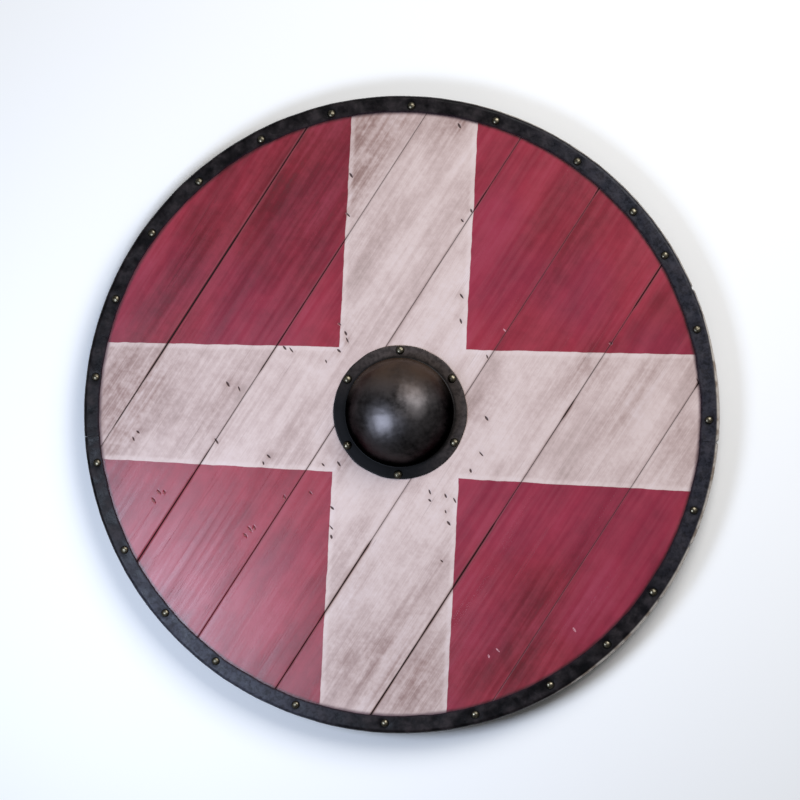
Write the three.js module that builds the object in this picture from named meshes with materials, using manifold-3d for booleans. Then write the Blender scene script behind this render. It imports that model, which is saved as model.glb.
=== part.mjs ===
// A wooden round shield that lies on its back with its face up.
//
// Seven boards make the disc. A black leather edging is folded over their edge in two strips and held by
// brass tacks. A hollow iron boss covers the hand hole and is held by six brass rivets. A grip batten
// crosses the back, square to the boards, and the shield rests on the batten's flat underside.
//
// Millimetres, +Z up. The origin is under the middle of the disc, on the surface that the shield lies on.

import * as THREE from 'three';
import { mergeVertices } from 'three/addons/utils/BufferGeometryUtils.js';
import Module from 'manifold-3d';

// ---------------------------------------------------------------------------------------------
// Driving dimensions
// ---------------------------------------------------------------------------------------------

const SHIELD_RADIUS = 420;
const FIT_GAP = 0.3; // air between two pieces that bear on each other
const ROUND_SEGMENTS = 88; // sides of the disc and of the edging
const HOLE_CLEARANCE = 0.3; // between a shank and its hole
const CUT_OVERRUN = 1; // how far a cutter runs past the face that it cuts

// Boards: seven of them, all at the same slant across the face.
const BOARD_THICKNESS = 14;
const BOARD_SLANT = THREE.MathUtils.degToRad(57); // direction of the grain from +X
const SEAM_OFFSETS = [-310, -187.3, -65.5, 57.3, 181.6, 306.7]; // seams, measured square to the grain
const SEAM_GAP = 1;
const BOARD_CHAMFER = 2.2; // eased edge of the disc, under the fold of the leather
const HAND_HOLE_RADIUS = 54;

// Leather edging: a folded strip, U-shaped in section.
const LEATHER_THICKNESS = 2.5;
const FOLD_RADIUS = 5; // outside of the fold
const FOLD_STEPS = 2;
const EDGING_FACE_RADIUS = 397.5; // inner edge on the face, cut by hand a little off centre
const EDGING_FACE_SHIFT = new THREE.Vector2(-1.8, 0.7);
const EDGING_BACK_RADIUS = 398;
const EDGING_JOINTS = [-5, 184].map(THREE.MathUtils.degToRad); // where the two strips meet
const EDGING_JOINT_GAP = 1.2;

// Rim tacks: hand-spaced round the edging.
const TACK_CIRCLE_RADIUS = 406.7;
const TACK_DEGREES = [
  103, 88, 72, 55, 41, 31, 16, -1, -18, -35, -48, -61,
  -76, -93, -110, -127, -140, -154, -171, 173, 158, 144, 131, 117,
];
const TACK_HEAD_RADIUS = 5.2;
const TACK_HEAD_HEIGHT = 3.6;
const TACK_SHANK_RADIUS = 1.2;
const TACK_LENGTH = 12;
const TACK_POINT_LENGTH = 4;
const TACK_SIDES = 8;

// Boss: a beaten iron bowl with a flange, set a little above the middle of the disc.
const BOSS_CENTRE = new THREE.Vector2(-1, 3);
const BOSS_FLANGE_RADIUS = 89;
const BOSS_DOME_RADIUS = 71;
const BOSS_NECK_HEIGHT = 9; // wall between the flange and the dome
const BOSS_NECK_LEAN = 1; // how far the neck leans in at its foot
const BOSS_DOME_HEIGHT = 58;
const BOSS_WALL = 2;
const BOSS_SEGMENTS = 36;
const BOSS_DOME_STEPS = 8;

// Boss rivets: through the flange and the boards.
const RIVET_CIRCLE_RADIUS = 82;
const RIVET_DEGREES = [90, 148, 212, 268, 331, 33];
const RIVET_HEAD_RADIUS = 5.8;
const RIVET_HEAD_HEIGHT = 4.2;
const RIVET_SHANK_RADIUS = 2;
const RIVET_TAIL_RADIUS = 4;
const RIVET_TAIL_END_RADIUS = 2.4;
const RIVET_TAIL_HEIGHT = 1.6;
const RIVET_BATTEN_DEPTH = 16; // how far a rivet over the batten runs into it
const RIVET_SIDES = 10;

// Grip batten: flat below where the shield rests, thinner towards its ends, narrow in the hand.
const BATTEN_THICKNESS = 22;
const BATTEN_END_THICKNESS = 9;
const BATTEN_HALF_LENGTH = 384;
const BATTEN_FLAT_HALF_LENGTH = 230;
const BATTEN_HALF_WIDTH = 20;
const BATTEN_END_HALF_WIDTH = 13;
const GRIP_HALF_WIDTH = 14;
const GRIP_HALF_LENGTH = 44;
const GRIP_SHOULDER_LENGTH = 26; // from the narrow grip to the full width
const GRIP_CHAMFER = 5;

// ---------------------------------------------------------------------------------------------
// Heights that follow from them
// ---------------------------------------------------------------------------------------------

const BOARDS_BACK = BATTEN_THICKNESS + FIT_GAP;
const BOARDS_FACE = BOARDS_BACK + BOARD_THICKNESS;
const BOARDS_RADIUS = SHIELD_RADIUS - LEATHER_THICKNESS - FIT_GAP;
const EDGING_BACK = BOARDS_BACK - FIT_GAP - LEATHER_THICKNESS;
const EDGING_FACE = BOARDS_FACE + FIT_GAP + LEATHER_THICKNESS;
const BOSS_BASE = BOARDS_FACE + FIT_GAP;
const BOSS_FLANGE_FACE = BOSS_BASE + BOSS_WALL;

// ---------------------------------------------------------------------------------------------
// Solids
// ---------------------------------------------------------------------------------------------

const wasm = await Module();
wasm.setup();

/** A closed three.js geometry as a solid for cutting and joining. */
function solidFrom(geometry) {
  const bare = geometry.clone();
  bare.deleteAttribute('normal');
  bare.deleteAttribute('uv');
  const merged = mergeVertices(bare);
  const corners = merged.index.array;
  const triVerts = [];
  for (let i = 0; i < corners.length; i += 3) {
    const [a, b, c] = corners.slice(i, i + 3);
    const hasArea = a !== b && b !== c && c !== a;
    if (hasArea) triVerts.push(a, b, c);
  }
  return new wasm.Manifold(new wasm.Mesh({
    numProp: 3,
    vertProperties: merged.attributes.position.array,
    triVerts: new Uint32Array(triVerts),
  }));
}

/** A solid as a three.js geometry. */
function geometryFrom(solid) {
  const mesh = solid.getMesh();
  const geometry = new THREE.BufferGeometry();
  geometry.setAttribute('position', new THREE.BufferAttribute(mesh.vertProperties, 3));
  geometry.setIndex(new THREE.BufferAttribute(mesh.triVerts, 1));
  geometry.computeVertexNormals();
  return geometry;
}

/** Turns a profile of [radius, height] pairs about the Z axis. */
function turned(profile, segments) {
  const points = profile.map(([radius, height]) => new THREE.Vector2(radius, height));
  return new THREE.LatheGeometry(points, segments).rotateX(Math.PI / 2);
}

/** A plain round bar along Z between two heights, standing at a point of the plan. */
function bar(radius, bottom, top, sides, at) {
  const height = top - bottom;
  return new THREE.CylinderGeometry(radius, radius, height, sides)
    .rotateX(Math.PI / 2)
    .translate(at.x, at.y, bottom + height / 2);
}

/** The point of the plan at a distance and an angle from a centre. */
function polar(centre, radius, angle) {
  return new THREE.Vector2(radius * Math.cos(angle), radius * Math.sin(angle)).add(centre);
}

/** Points of a quarter turn about a centre, from a start angle, as [radius, height] pairs. */
function quarterTurn(centre, radius, startAngle, steps) {
  const points = [];
  for (let i = 0; i <= steps; i += 1) {
    const angle = startAngle + (i / steps) * (Math.PI / 2);
    points.push([centre[0] + radius * Math.cos(angle), centre[1] + radius * Math.sin(angle)]);
  }
  return points;
}

// ---------------------------------------------------------------------------------------------
// Fasteners
// ---------------------------------------------------------------------------------------------

const ORIGIN = new THREE.Vector2(0, 0);
const tackPlaces = TACK_DEGREES.map((degrees) => (
  polar(ORIGIN, TACK_CIRCLE_RADIUS, THREE.MathUtils.degToRad(degrees))));
const rivetPlaces = RIVET_DEGREES.map((degrees) => (
  polar(BOSS_CENTRE, RIVET_CIRCLE_RADIUS, THREE.MathUtils.degToRad(degrees))));

/** Profile of a domed head from the shank's edge up to its crown. */
function headProfile(headRadius, headHeight, shankRadius) {
  const shoulder = Math.PI / 4;
  return [
    [shankRadius, 0],
    [headRadius, 0],
    [headRadius * Math.cos(shoulder), headHeight * Math.sin(shoulder)],
    [0, headHeight],
  ];
}

/** A tack: a domed head on a pointed shank. Its origin is under the head. */
function tackGeometry() {
  return turned([
    [0, -TACK_LENGTH],
    [TACK_SHANK_RADIUS, TACK_POINT_LENGTH - TACK_LENGTH],
    ...headProfile(TACK_HEAD_RADIUS, TACK_HEAD_HEIGHT, TACK_SHANK_RADIUS),
  ], TACK_SIDES);
}

/** A rivet that ends in a peened tail behind the boards. Its origin is under the head. */
function peenedRivetGeometry() {
  const tailTop = BOARDS_BACK - FIT_GAP - (BOSS_FLANGE_FACE + FIT_GAP);
  const tailBottom = tailTop - RIVET_TAIL_HEIGHT;
  return turned([
    [0, tailBottom],
    [RIVET_TAIL_END_RADIUS, tailBottom],
    [RIVET_TAIL_RADIUS, tailTop],
    [RIVET_SHANK_RADIUS, tailTop],
    ...headProfile(RIVET_HEAD_RADIUS, RIVET_HEAD_HEIGHT, RIVET_SHANK_RADIUS),
  ], RIVET_SIDES);
}

/** A rivet that is driven into the batten instead. Its origin is under the head. */
function drivenRivetGeometry() {
  const shankEnd = BATTEN_THICKNESS - RIVET_BATTEN_DEPTH - (BOSS_FLANGE_FACE + FIT_GAP);
  return turned([
    [0, shankEnd],
    [RIVET_SHANK_RADIUS, shankEnd],
    ...headProfile(RIVET_HEAD_RADIUS, RIVET_HEAD_HEIGHT, RIVET_SHANK_RADIUS),
  ], RIVET_SIDES);
}

/** Cutters for the tacks' holes in the edging and in the boards. */
function tackHoles() {
  const bottom = EDGING_FACE - TACK_LENGTH - HOLE_CLEARANCE;
  const top = EDGING_FACE + CUT_OVERRUN;
  const radius = TACK_SHANK_RADIUS + HOLE_CLEARANCE;
  return tackPlaces.map((place) => solidFrom(bar(radius, bottom, top, TACK_SIDES, place)));
}

/** Cutters for the rivets' holes, from the boss down to a given height. */
function rivetHoles(bottom) {
  const top = BOSS_FLANGE_FACE + CUT_OVERRUN;
  const radius = RIVET_SHANK_RADIUS + HOLE_CLEARANCE;
  return rivetPlaces.map((place) => solidFrom(bar(radius, bottom, top, RIVET_SIDES, place)));
}

/** Whether a point of the plan lies over the batten. */
function overBatten(place) {
  const along = new THREE.Vector2(Math.cos(BOARD_SLANT), Math.sin(BOARD_SLANT));
  return Math.abs(place.clone().sub(BOSS_CENTRE).dot(along)) < BATTEN_HALF_WIDTH;
}

/** Takes every cutter out of a solid. */
function cutAll(solid, cutters) {
  return cutters.reduce((rest, cutter) => rest.subtract(cutter), solid);
}

// ---------------------------------------------------------------------------------------------
// Boards
// ---------------------------------------------------------------------------------------------

/** The whole round of boards as one disc with eased edges. */
function boardDisc() {
  const flatRadius = BOARDS_RADIUS - BOARD_CHAMFER;
  return solidFrom(turned([
    [0, BOARDS_BACK],
    [flatRadius, BOARDS_BACK],
    [BOARDS_RADIUS, BOARDS_BACK + BOARD_CHAMFER],
    [BOARDS_RADIUS, BOARDS_FACE - BOARD_CHAMFER],
    [flatRadius, BOARDS_FACE],
    [0, BOARDS_FACE],
  ], ROUND_SEGMENTS));
}

/** A straight length of board between two seams, before it is sawn round. */
function boardBlank(fromOffset, toOffset) {
  const length = 2 * SHIELD_RADIUS;
  const blank = new THREE.BoxGeometry(length, toOffset - fromOffset, 3 * BOARD_THICKNESS);
  blank.translate(0, -(fromOffset + toOffset) / 2, (BOARDS_BACK + BOARDS_FACE) / 2);
  blank.rotateZ(BOARD_SLANT);
  return solidFrom(blank);
}

/** The seven boards, from the upper left to the lower right. */
function boardGeometries() {
  const disc = boardDisc();
  const below = BOARDS_BACK - CUT_OVERRUN;
  const above = BOARDS_FACE + CUT_OVERRUN;
  const handHole = solidFrom(bar(HAND_HOLE_RADIUS, below, above, BOSS_SEGMENTS, BOSS_CENTRE));
  const cutters = [handHole, ...tackHoles(), ...rivetHoles(below)];
  const drilled = cutAll(disc, cutters);
  const edges = [-SHIELD_RADIUS, ...SEAM_OFFSETS, SHIELD_RADIUS];
  const boards = [];
  for (let i = 0; i < edges.length - 1; i += 1) {
    const blank = boardBlank(edges[i] + SEAM_GAP / 2, edges[i + 1] - SEAM_GAP / 2);
    boards.push(geometryFrom(drilled.intersect(blank)));
  }
  return boards;
}

// ---------------------------------------------------------------------------------------------
// Leather edging
// ---------------------------------------------------------------------------------------------

/** The folded edging as one ring, its inner edge on the face cut off centre. */
function edgingRing() {
  const foldCentreRadius = SHIELD_RADIUS - FOLD_RADIUS;
  const innerFold = BOARD_CHAMFER;
  const innerRadius = SHIELD_RADIUS - LEATHER_THICKNESS;
  const roughFaceRadius = EDGING_FACE_RADIUS - 2 * EDGING_FACE_SHIFT.length(); // before it is trimmed
  const lowerInside = EDGING_BACK + LEATHER_THICKNESS;
  const upperInside = EDGING_FACE - LEATHER_THICKNESS;
  const ring = solidFrom(turned([
    [EDGING_BACK_RADIUS, EDGING_BACK],
    ...quarterTurn([foldCentreRadius, EDGING_BACK + FOLD_RADIUS], FOLD_RADIUS, -Math.PI / 2, FOLD_STEPS),
    ...quarterTurn([foldCentreRadius, EDGING_FACE - FOLD_RADIUS], FOLD_RADIUS, 0, FOLD_STEPS),
    [roughFaceRadius, EDGING_FACE],
    [roughFaceRadius, upperInside],
    [innerRadius - innerFold, upperInside],
    [innerRadius, upperInside - innerFold],
    [innerRadius, lowerInside + innerFold],
    [innerRadius - innerFold, lowerInside],
    [EDGING_BACK_RADIUS, lowerInside],
    [EDGING_BACK_RADIUS, EDGING_BACK],
  ], ROUND_SEGMENTS));
  const above = EDGING_FACE + CUT_OVERRUN;
  const trim = solidFrom(
    bar(EDGING_FACE_RADIUS, BOARDS_FACE, above, ROUND_SEGMENTS, EDGING_FACE_SHIFT));
  return cutAll(ring, [trim, ...tackHoles()]);
}

/** A wedge of the plan between two joints, which cuts one strip out of the ring. */
function stripWedge(fromAngle, toAngle) {
  const halfGap = EDGING_JOINT_GAP / 2 / SHIELD_RADIUS;
  const reach = SHIELD_RADIUS * 1.2; // its straight sides stay outside the ring
  const steps = 24;
  const wedge = new THREE.Shape();
  wedge.moveTo(0, 0);
  for (let i = 0; i <= steps; i += 1) {
    const angle = THREE.MathUtils.lerp(fromAngle + halfGap, toAngle - halfGap, i / steps);
    wedge.lineTo(reach * Math.cos(angle), reach * Math.sin(angle));
  }
  wedge.closePath();
  const height = EDGING_FACE - EDGING_BACK + 2 * CUT_OVERRUN;
  const prism = new THREE.ExtrudeGeometry(wedge, { depth: height, bevelEnabled: false });
  return solidFrom(prism.translate(0, 0, EDGING_BACK - CUT_OVERRUN));
}

/** The upper and the lower strip. */
function edgingGeometries() {
  const ring = edgingRing();
  const [first, second] = EDGING_JOINTS;
  return [
    geometryFrom(ring.intersect(stripWedge(first, second))),
    geometryFrom(ring.intersect(stripWedge(second, first + 2 * Math.PI))),
  ];
}

// ---------------------------------------------------------------------------------------------
// Boss
// ---------------------------------------------------------------------------------------------

/** Points of the dome's curve from its foot to its crown, as [radius, height] pairs. */
function domeCurve(footRadius, footHeight, rise) {
  const points = [];
  for (let i = 0; i <= BOSS_DOME_STEPS; i += 1) {
    const angle = (i / BOSS_DOME_STEPS) * (Math.PI / 2);
    const radius = i === BOSS_DOME_STEPS ? 0 : footRadius * Math.cos(angle);
    points.push([radius, footHeight + rise * Math.sin(angle)]);
  }
  return points;
}

/** The hollow boss with its flange, drilled for the rivets. */
function bossGeometry() {
  const neckFoot = BOSS_DOME_RADIUS - BOSS_NECK_LEAN;
  const domeFoot = BOSS_FLANGE_FACE + BOSS_NECK_HEIGHT;
  const inside = domeCurve(BOSS_DOME_RADIUS - BOSS_WALL, domeFoot, BOSS_DOME_HEIGHT - BOSS_WALL);
  const bowl = solidFrom(turned([
    ...inside.reverse(),
    [neckFoot - BOSS_WALL, BOSS_FLANGE_FACE],
    [neckFoot - BOSS_WALL, BOSS_BASE],
    [BOSS_FLANGE_RADIUS, BOSS_BASE],
    [BOSS_FLANGE_RADIUS, BOSS_FLANGE_FACE],
    [neckFoot, BOSS_FLANGE_FACE],
    ...domeCurve(BOSS_DOME_RADIUS, domeFoot, BOSS_DOME_HEIGHT),
  ], BOSS_SEGMENTS));
  const placed = bowl.translate([BOSS_CENTRE.x, BOSS_CENTRE.y, 0]);
  return geometryFrom(cutAll(placed, rivetHoles(BOSS_BASE - CUT_OVERRUN)));
}

// ---------------------------------------------------------------------------------------------
// Grip batten
// ---------------------------------------------------------------------------------------------

/** The batten's side view, drawn out to its full width. Length runs along X. */
function battenSide() {
  const rise = BATTEN_THICKNESS - BATTEN_END_THICKNESS;
  const side = new THREE.Shape();
  side.moveTo(-BATTEN_HALF_LENGTH, BATTEN_THICKNESS);
  side.lineTo(-BATTEN_HALF_LENGTH, rise);
  side.lineTo(-BATTEN_FLAT_HALF_LENGTH, 0);
  side.lineTo(BATTEN_FLAT_HALF_LENGTH, 0);
  side.lineTo(BATTEN_HALF_LENGTH, rise);
  side.lineTo(BATTEN_HALF_LENGTH, BATTEN_THICKNESS);
  side.closePath();
  const width = 2 * BATTEN_HALF_WIDTH + 2 * CUT_OVERRUN;
  const prism = new THREE.ExtrudeGeometry(side, { depth: width, bevelEnabled: false });
  return solidFrom(prism.rotateX(Math.PI / 2).translate(0, width / 2, 0));
}

/** The batten's plan: waisted in the hand, tapered to round ends. */
function battenPlan() {
  const grip = GRIP_HALF_LENGTH;
  const shoulder = GRIP_HALF_LENGTH + GRIP_SHOULDER_LENGTH;
  const end = BATTEN_HALF_LENGTH - BATTEN_END_HALF_WIDTH;
  const middle = (grip + shoulder) / 2;
  const plan = new THREE.Shape();
  plan.moveTo(end, -BATTEN_END_HALF_WIDTH);
  plan.absarc(end, 0, BATTEN_END_HALF_WIDTH, -Math.PI / 2, Math.PI / 2, false);
  plan.lineTo(shoulder, BATTEN_HALF_WIDTH);
  plan.bezierCurveTo(middle, BATTEN_HALF_WIDTH, middle, GRIP_HALF_WIDTH, grip, GRIP_HALF_WIDTH);
  plan.lineTo(-grip, GRIP_HALF_WIDTH);
  plan.bezierCurveTo(-middle, GRIP_HALF_WIDTH, -middle, BATTEN_HALF_WIDTH, -shoulder, BATTEN_HALF_WIDTH);
  plan.lineTo(-end, BATTEN_END_HALF_WIDTH);
  plan.absarc(-end, 0, BATTEN_END_HALF_WIDTH, Math.PI / 2, 1.5 * Math.PI, false);
  plan.lineTo(-shoulder, -BATTEN_HALF_WIDTH);
  plan.bezierCurveTo(-middle, -BATTEN_HALF_WIDTH, -middle, -GRIP_HALF_WIDTH, -grip, -GRIP_HALF_WIDTH);
  plan.lineTo(grip, -GRIP_HALF_WIDTH);
  plan.bezierCurveTo(middle, -GRIP_HALF_WIDTH, middle, -BATTEN_HALF_WIDTH, shoulder, -BATTEN_HALF_WIDTH);
  plan.closePath();
  const height = BATTEN_THICKNESS + 2 * CUT_OVERRUN;
  const prism = new THREE.ExtrudeGeometry(plan, { depth: height, bevelEnabled: false, curveSegments: 6 });
  return solidFrom(prism.translate(0, 0, -CUT_OVERRUN));
}

/** Cutters that ease the four long edges of the grip where the fingers close round it. */
function gripChamfers() {
  const side = GRIP_CHAMFER * Math.SQRT2;
  const cutters = [];
  for (const y of [-GRIP_HALF_WIDTH, GRIP_HALF_WIDTH]) {
    for (const z of [0, BATTEN_THICKNESS]) {
      const cutter = new THREE.BoxGeometry(2 * GRIP_HALF_LENGTH, side, side);
      cutters.push(solidFrom(cutter.rotateX(Math.PI / 4).translate(0, y, z)));
    }
  }
  return cutters;
}

/** The whole batten, laid square to the boards and bored for the two rivets driven into it. */
function battenGeometry() {
  const shaped = cutAll(battenSide().intersect(battenPlan()), gripChamfers());
  const turnedDegrees = THREE.MathUtils.radToDeg(BOARD_SLANT) - 90;
  const laid = shaped.rotate([0, 0, turnedDegrees]).translate([BOSS_CENTRE.x, BOSS_CENTRE.y, 0]);
  const boreBottom = BATTEN_THICKNESS - RIVET_BATTEN_DEPTH - HOLE_CLEARANCE;
  return geometryFrom(cutAll(laid, rivetHoles(boreBottom)));
}

// ---------------------------------------------------------------------------------------------
// Assembly
// ---------------------------------------------------------------------------------------------

/** A named mesh with a material of its own. */
function piece(name, geometry, color, roughness, metalness) {
  const material = new THREE.MeshStandardMaterial({ color, roughness, metalness });
  const mesh = new THREE.Mesh(geometry, material);
  mesh.name = name;
  return mesh;
}

const PAINTED_WOOD = [0x9c4152, 0.6, 0];
const BARE_WOOD = [0x9a7850, 0.7, 0];
const LEATHER = [0x2b2a2d, 0.5, 0];
const IRON = [0x1c1a19, 0.4, 0.7];
const BRASS = [0x7a6a3c, 0.35, 1];

const group = new THREE.Group();

boardGeometries().forEach((geometry, i) => {
  group.add(piece(`board_${i + 1}`, geometry, ...PAINTED_WOOD));
});

const [upperStrip, lowerStrip] = edgingGeometries();
group.add(piece('rim_strip_upper', upperStrip, ...LEATHER));
group.add(piece('rim_strip_lower', lowerStrip, ...LEATHER));

tackPlaces.forEach((place, i) => {
  const tack = piece(`rim_tack_${String(i + 1).padStart(2, '0')}`, tackGeometry(), ...BRASS);
  tack.position.set(place.x, place.y, EDGING_FACE + FIT_GAP);
  group.add(tack);
});

group.add(piece('boss', bossGeometry(), ...IRON));

rivetPlaces.forEach((place, i) => {
  const geometry = overBatten(place) ? drivenRivetGeometry() : peenedRivetGeometry();
  const rivet = piece(`boss_rivet_${i + 1}`, geometry, ...BRASS);
  rivet.position.set(place.x, place.y, BOSS_FLANGE_FACE + FIT_GAP);
  group.add(rivet);
});

group.add(piece('grip_batten', battenGeometry(), ...BARE_WOOD));

export default group;
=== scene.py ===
"""A wooden round shield on its back: seven painted boards, leather edging, an iron boss and brass nails.

Lengths are in metres. Every place comes from the frame's boxes or from the sizes that the classes hold.
"""
from __future__ import annotations

import logging
import math
import random
from dataclasses import dataclass
from enum import Enum
from typing import Iterable, Sequence, Union

import bmesh
import bpy
from mathutils import Matrix, Vector, noise

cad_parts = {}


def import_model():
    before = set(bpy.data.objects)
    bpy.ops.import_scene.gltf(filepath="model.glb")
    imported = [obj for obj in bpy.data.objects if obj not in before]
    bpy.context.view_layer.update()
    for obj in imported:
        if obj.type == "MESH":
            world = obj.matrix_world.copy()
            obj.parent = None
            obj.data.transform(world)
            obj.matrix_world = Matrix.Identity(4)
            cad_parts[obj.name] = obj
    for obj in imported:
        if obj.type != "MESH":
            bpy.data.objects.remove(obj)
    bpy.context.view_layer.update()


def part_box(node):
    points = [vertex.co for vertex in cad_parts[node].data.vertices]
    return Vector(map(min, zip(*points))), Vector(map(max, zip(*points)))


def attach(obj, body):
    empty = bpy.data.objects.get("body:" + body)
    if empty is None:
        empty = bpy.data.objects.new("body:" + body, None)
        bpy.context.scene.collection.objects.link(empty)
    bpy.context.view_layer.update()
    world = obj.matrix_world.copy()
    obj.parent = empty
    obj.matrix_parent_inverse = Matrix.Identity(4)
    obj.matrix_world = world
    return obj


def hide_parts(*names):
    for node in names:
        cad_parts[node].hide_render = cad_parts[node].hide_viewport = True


LOG = logging.getLogger("shield")
MM = 0.001

# The leather's inner edge on the face: a circle cut a little off the shield's centre.
LEATHER_INNER_RADIUS = 397.5 * MM
LEATHER_INNER_CENTRE = (-1.8 * MM, 0.7 * MM)

Colour = tuple[float, float, float]
Pair = tuple[float, float]
ArmEdge = tuple[float, float, float]
Stretch = tuple[float, float, float]
Socket = bpy.types.NodeSocket
Shape = bmesh.types.BMesh
Material = bpy.types.Material
Piece = bpy.types.Object


# ---- Small sums ----


def blend(low: float, high: float, share: float) -> float:
    """The value a share of the way from low to high."""
    return low + (high - low) * share


def ease(value: float, low: float, high: float) -> float:
    """Rises smoothly from 0 at low to 1 at high, whichever of the two is the larger."""
    share = min(1.0, max(0.0, (value - low) / (high - low)))
    return share * share * (3.0 - 2.0 * share)


def lump(place: Vector, size: float, octaves: int = 2) -> float:
    """Smooth unevenness between about -1 and 1, with lumps of the given size."""
    return noise.fractal(place / size, 1.0, 2.0, octaves)


def lumps(place: Vector, waves: Sequence[Pair]) -> float:
    """Unevenness of several (depth, size) pairs at once."""
    return sum(depth * lump(place, size) for depth, size in waves)


def between(pairs: Sequence[Pair], place: float) -> float:
    """Reads a chain of (place, value) pairs, straight between neighbours and level past the ends.

    Args:
        pairs: the chain, in the order of its places.
        place: where it is read.

    Returns:
        The value there.
    """
    if place <= pairs[0][0]:
        return pairs[0][1]
    for (start, low), (end, high) in zip(pairs, pairs[1:]):
        if place <= end:
            return blend(low, high, (place - start) / (end - start))
    return pairs[-1][1]


def screen_level(level: int) -> float:
    """One channel of a screen's colour, 0 to 255, as the renderer's linear value."""
    share = level / 255.0
    return share / 12.92 if share <= 0.04045 else ((share + 0.055) / 1.055) ** 2.4


def srgb(red: int, green: int, blue: int) -> Colour:
    """A colour given as it looks on a screen, as the renderer's linear values."""
    return screen_level(red), screen_level(green), screen_level(blue)


# ---- Node bench ----


class Level:
    """A number that varies over a piece. Sums with it add Math nodes to its bench."""

    def __init__(self, bench: NodeBench, socket: Socket) -> None:
        """Wraps an output of one of the bench's nodes."""
        self.bench = bench
        self.socket = socket

    def __add__(self, other: Level | float) -> Level:
        """This level plus another one or a number."""
        return self.bench.math("ADD", self, other)

    def __radd__(self, other: float) -> Level:
        """A number plus this level."""
        return self.bench.math("ADD", other, self)

    def __sub__(self, other: Level | float) -> Level:
        """This level less another one or a number."""
        return self.bench.math("SUBTRACT", self, other)

    def __rsub__(self, other: float) -> Level:
        """A number less this level."""
        return self.bench.math("SUBTRACT", other, self)

    def __mul__(self, other: Level | float) -> Level:
        """This level times another one or a number."""
        return self.bench.math("MULTIPLY", self, other)

    def __pow__(self, power: float) -> Level:
        """This level raised to a power."""
        return self.bench.math("POWER", self, power)


Feed = Union[Level, Socket, float, Sequence[float], None]


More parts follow.
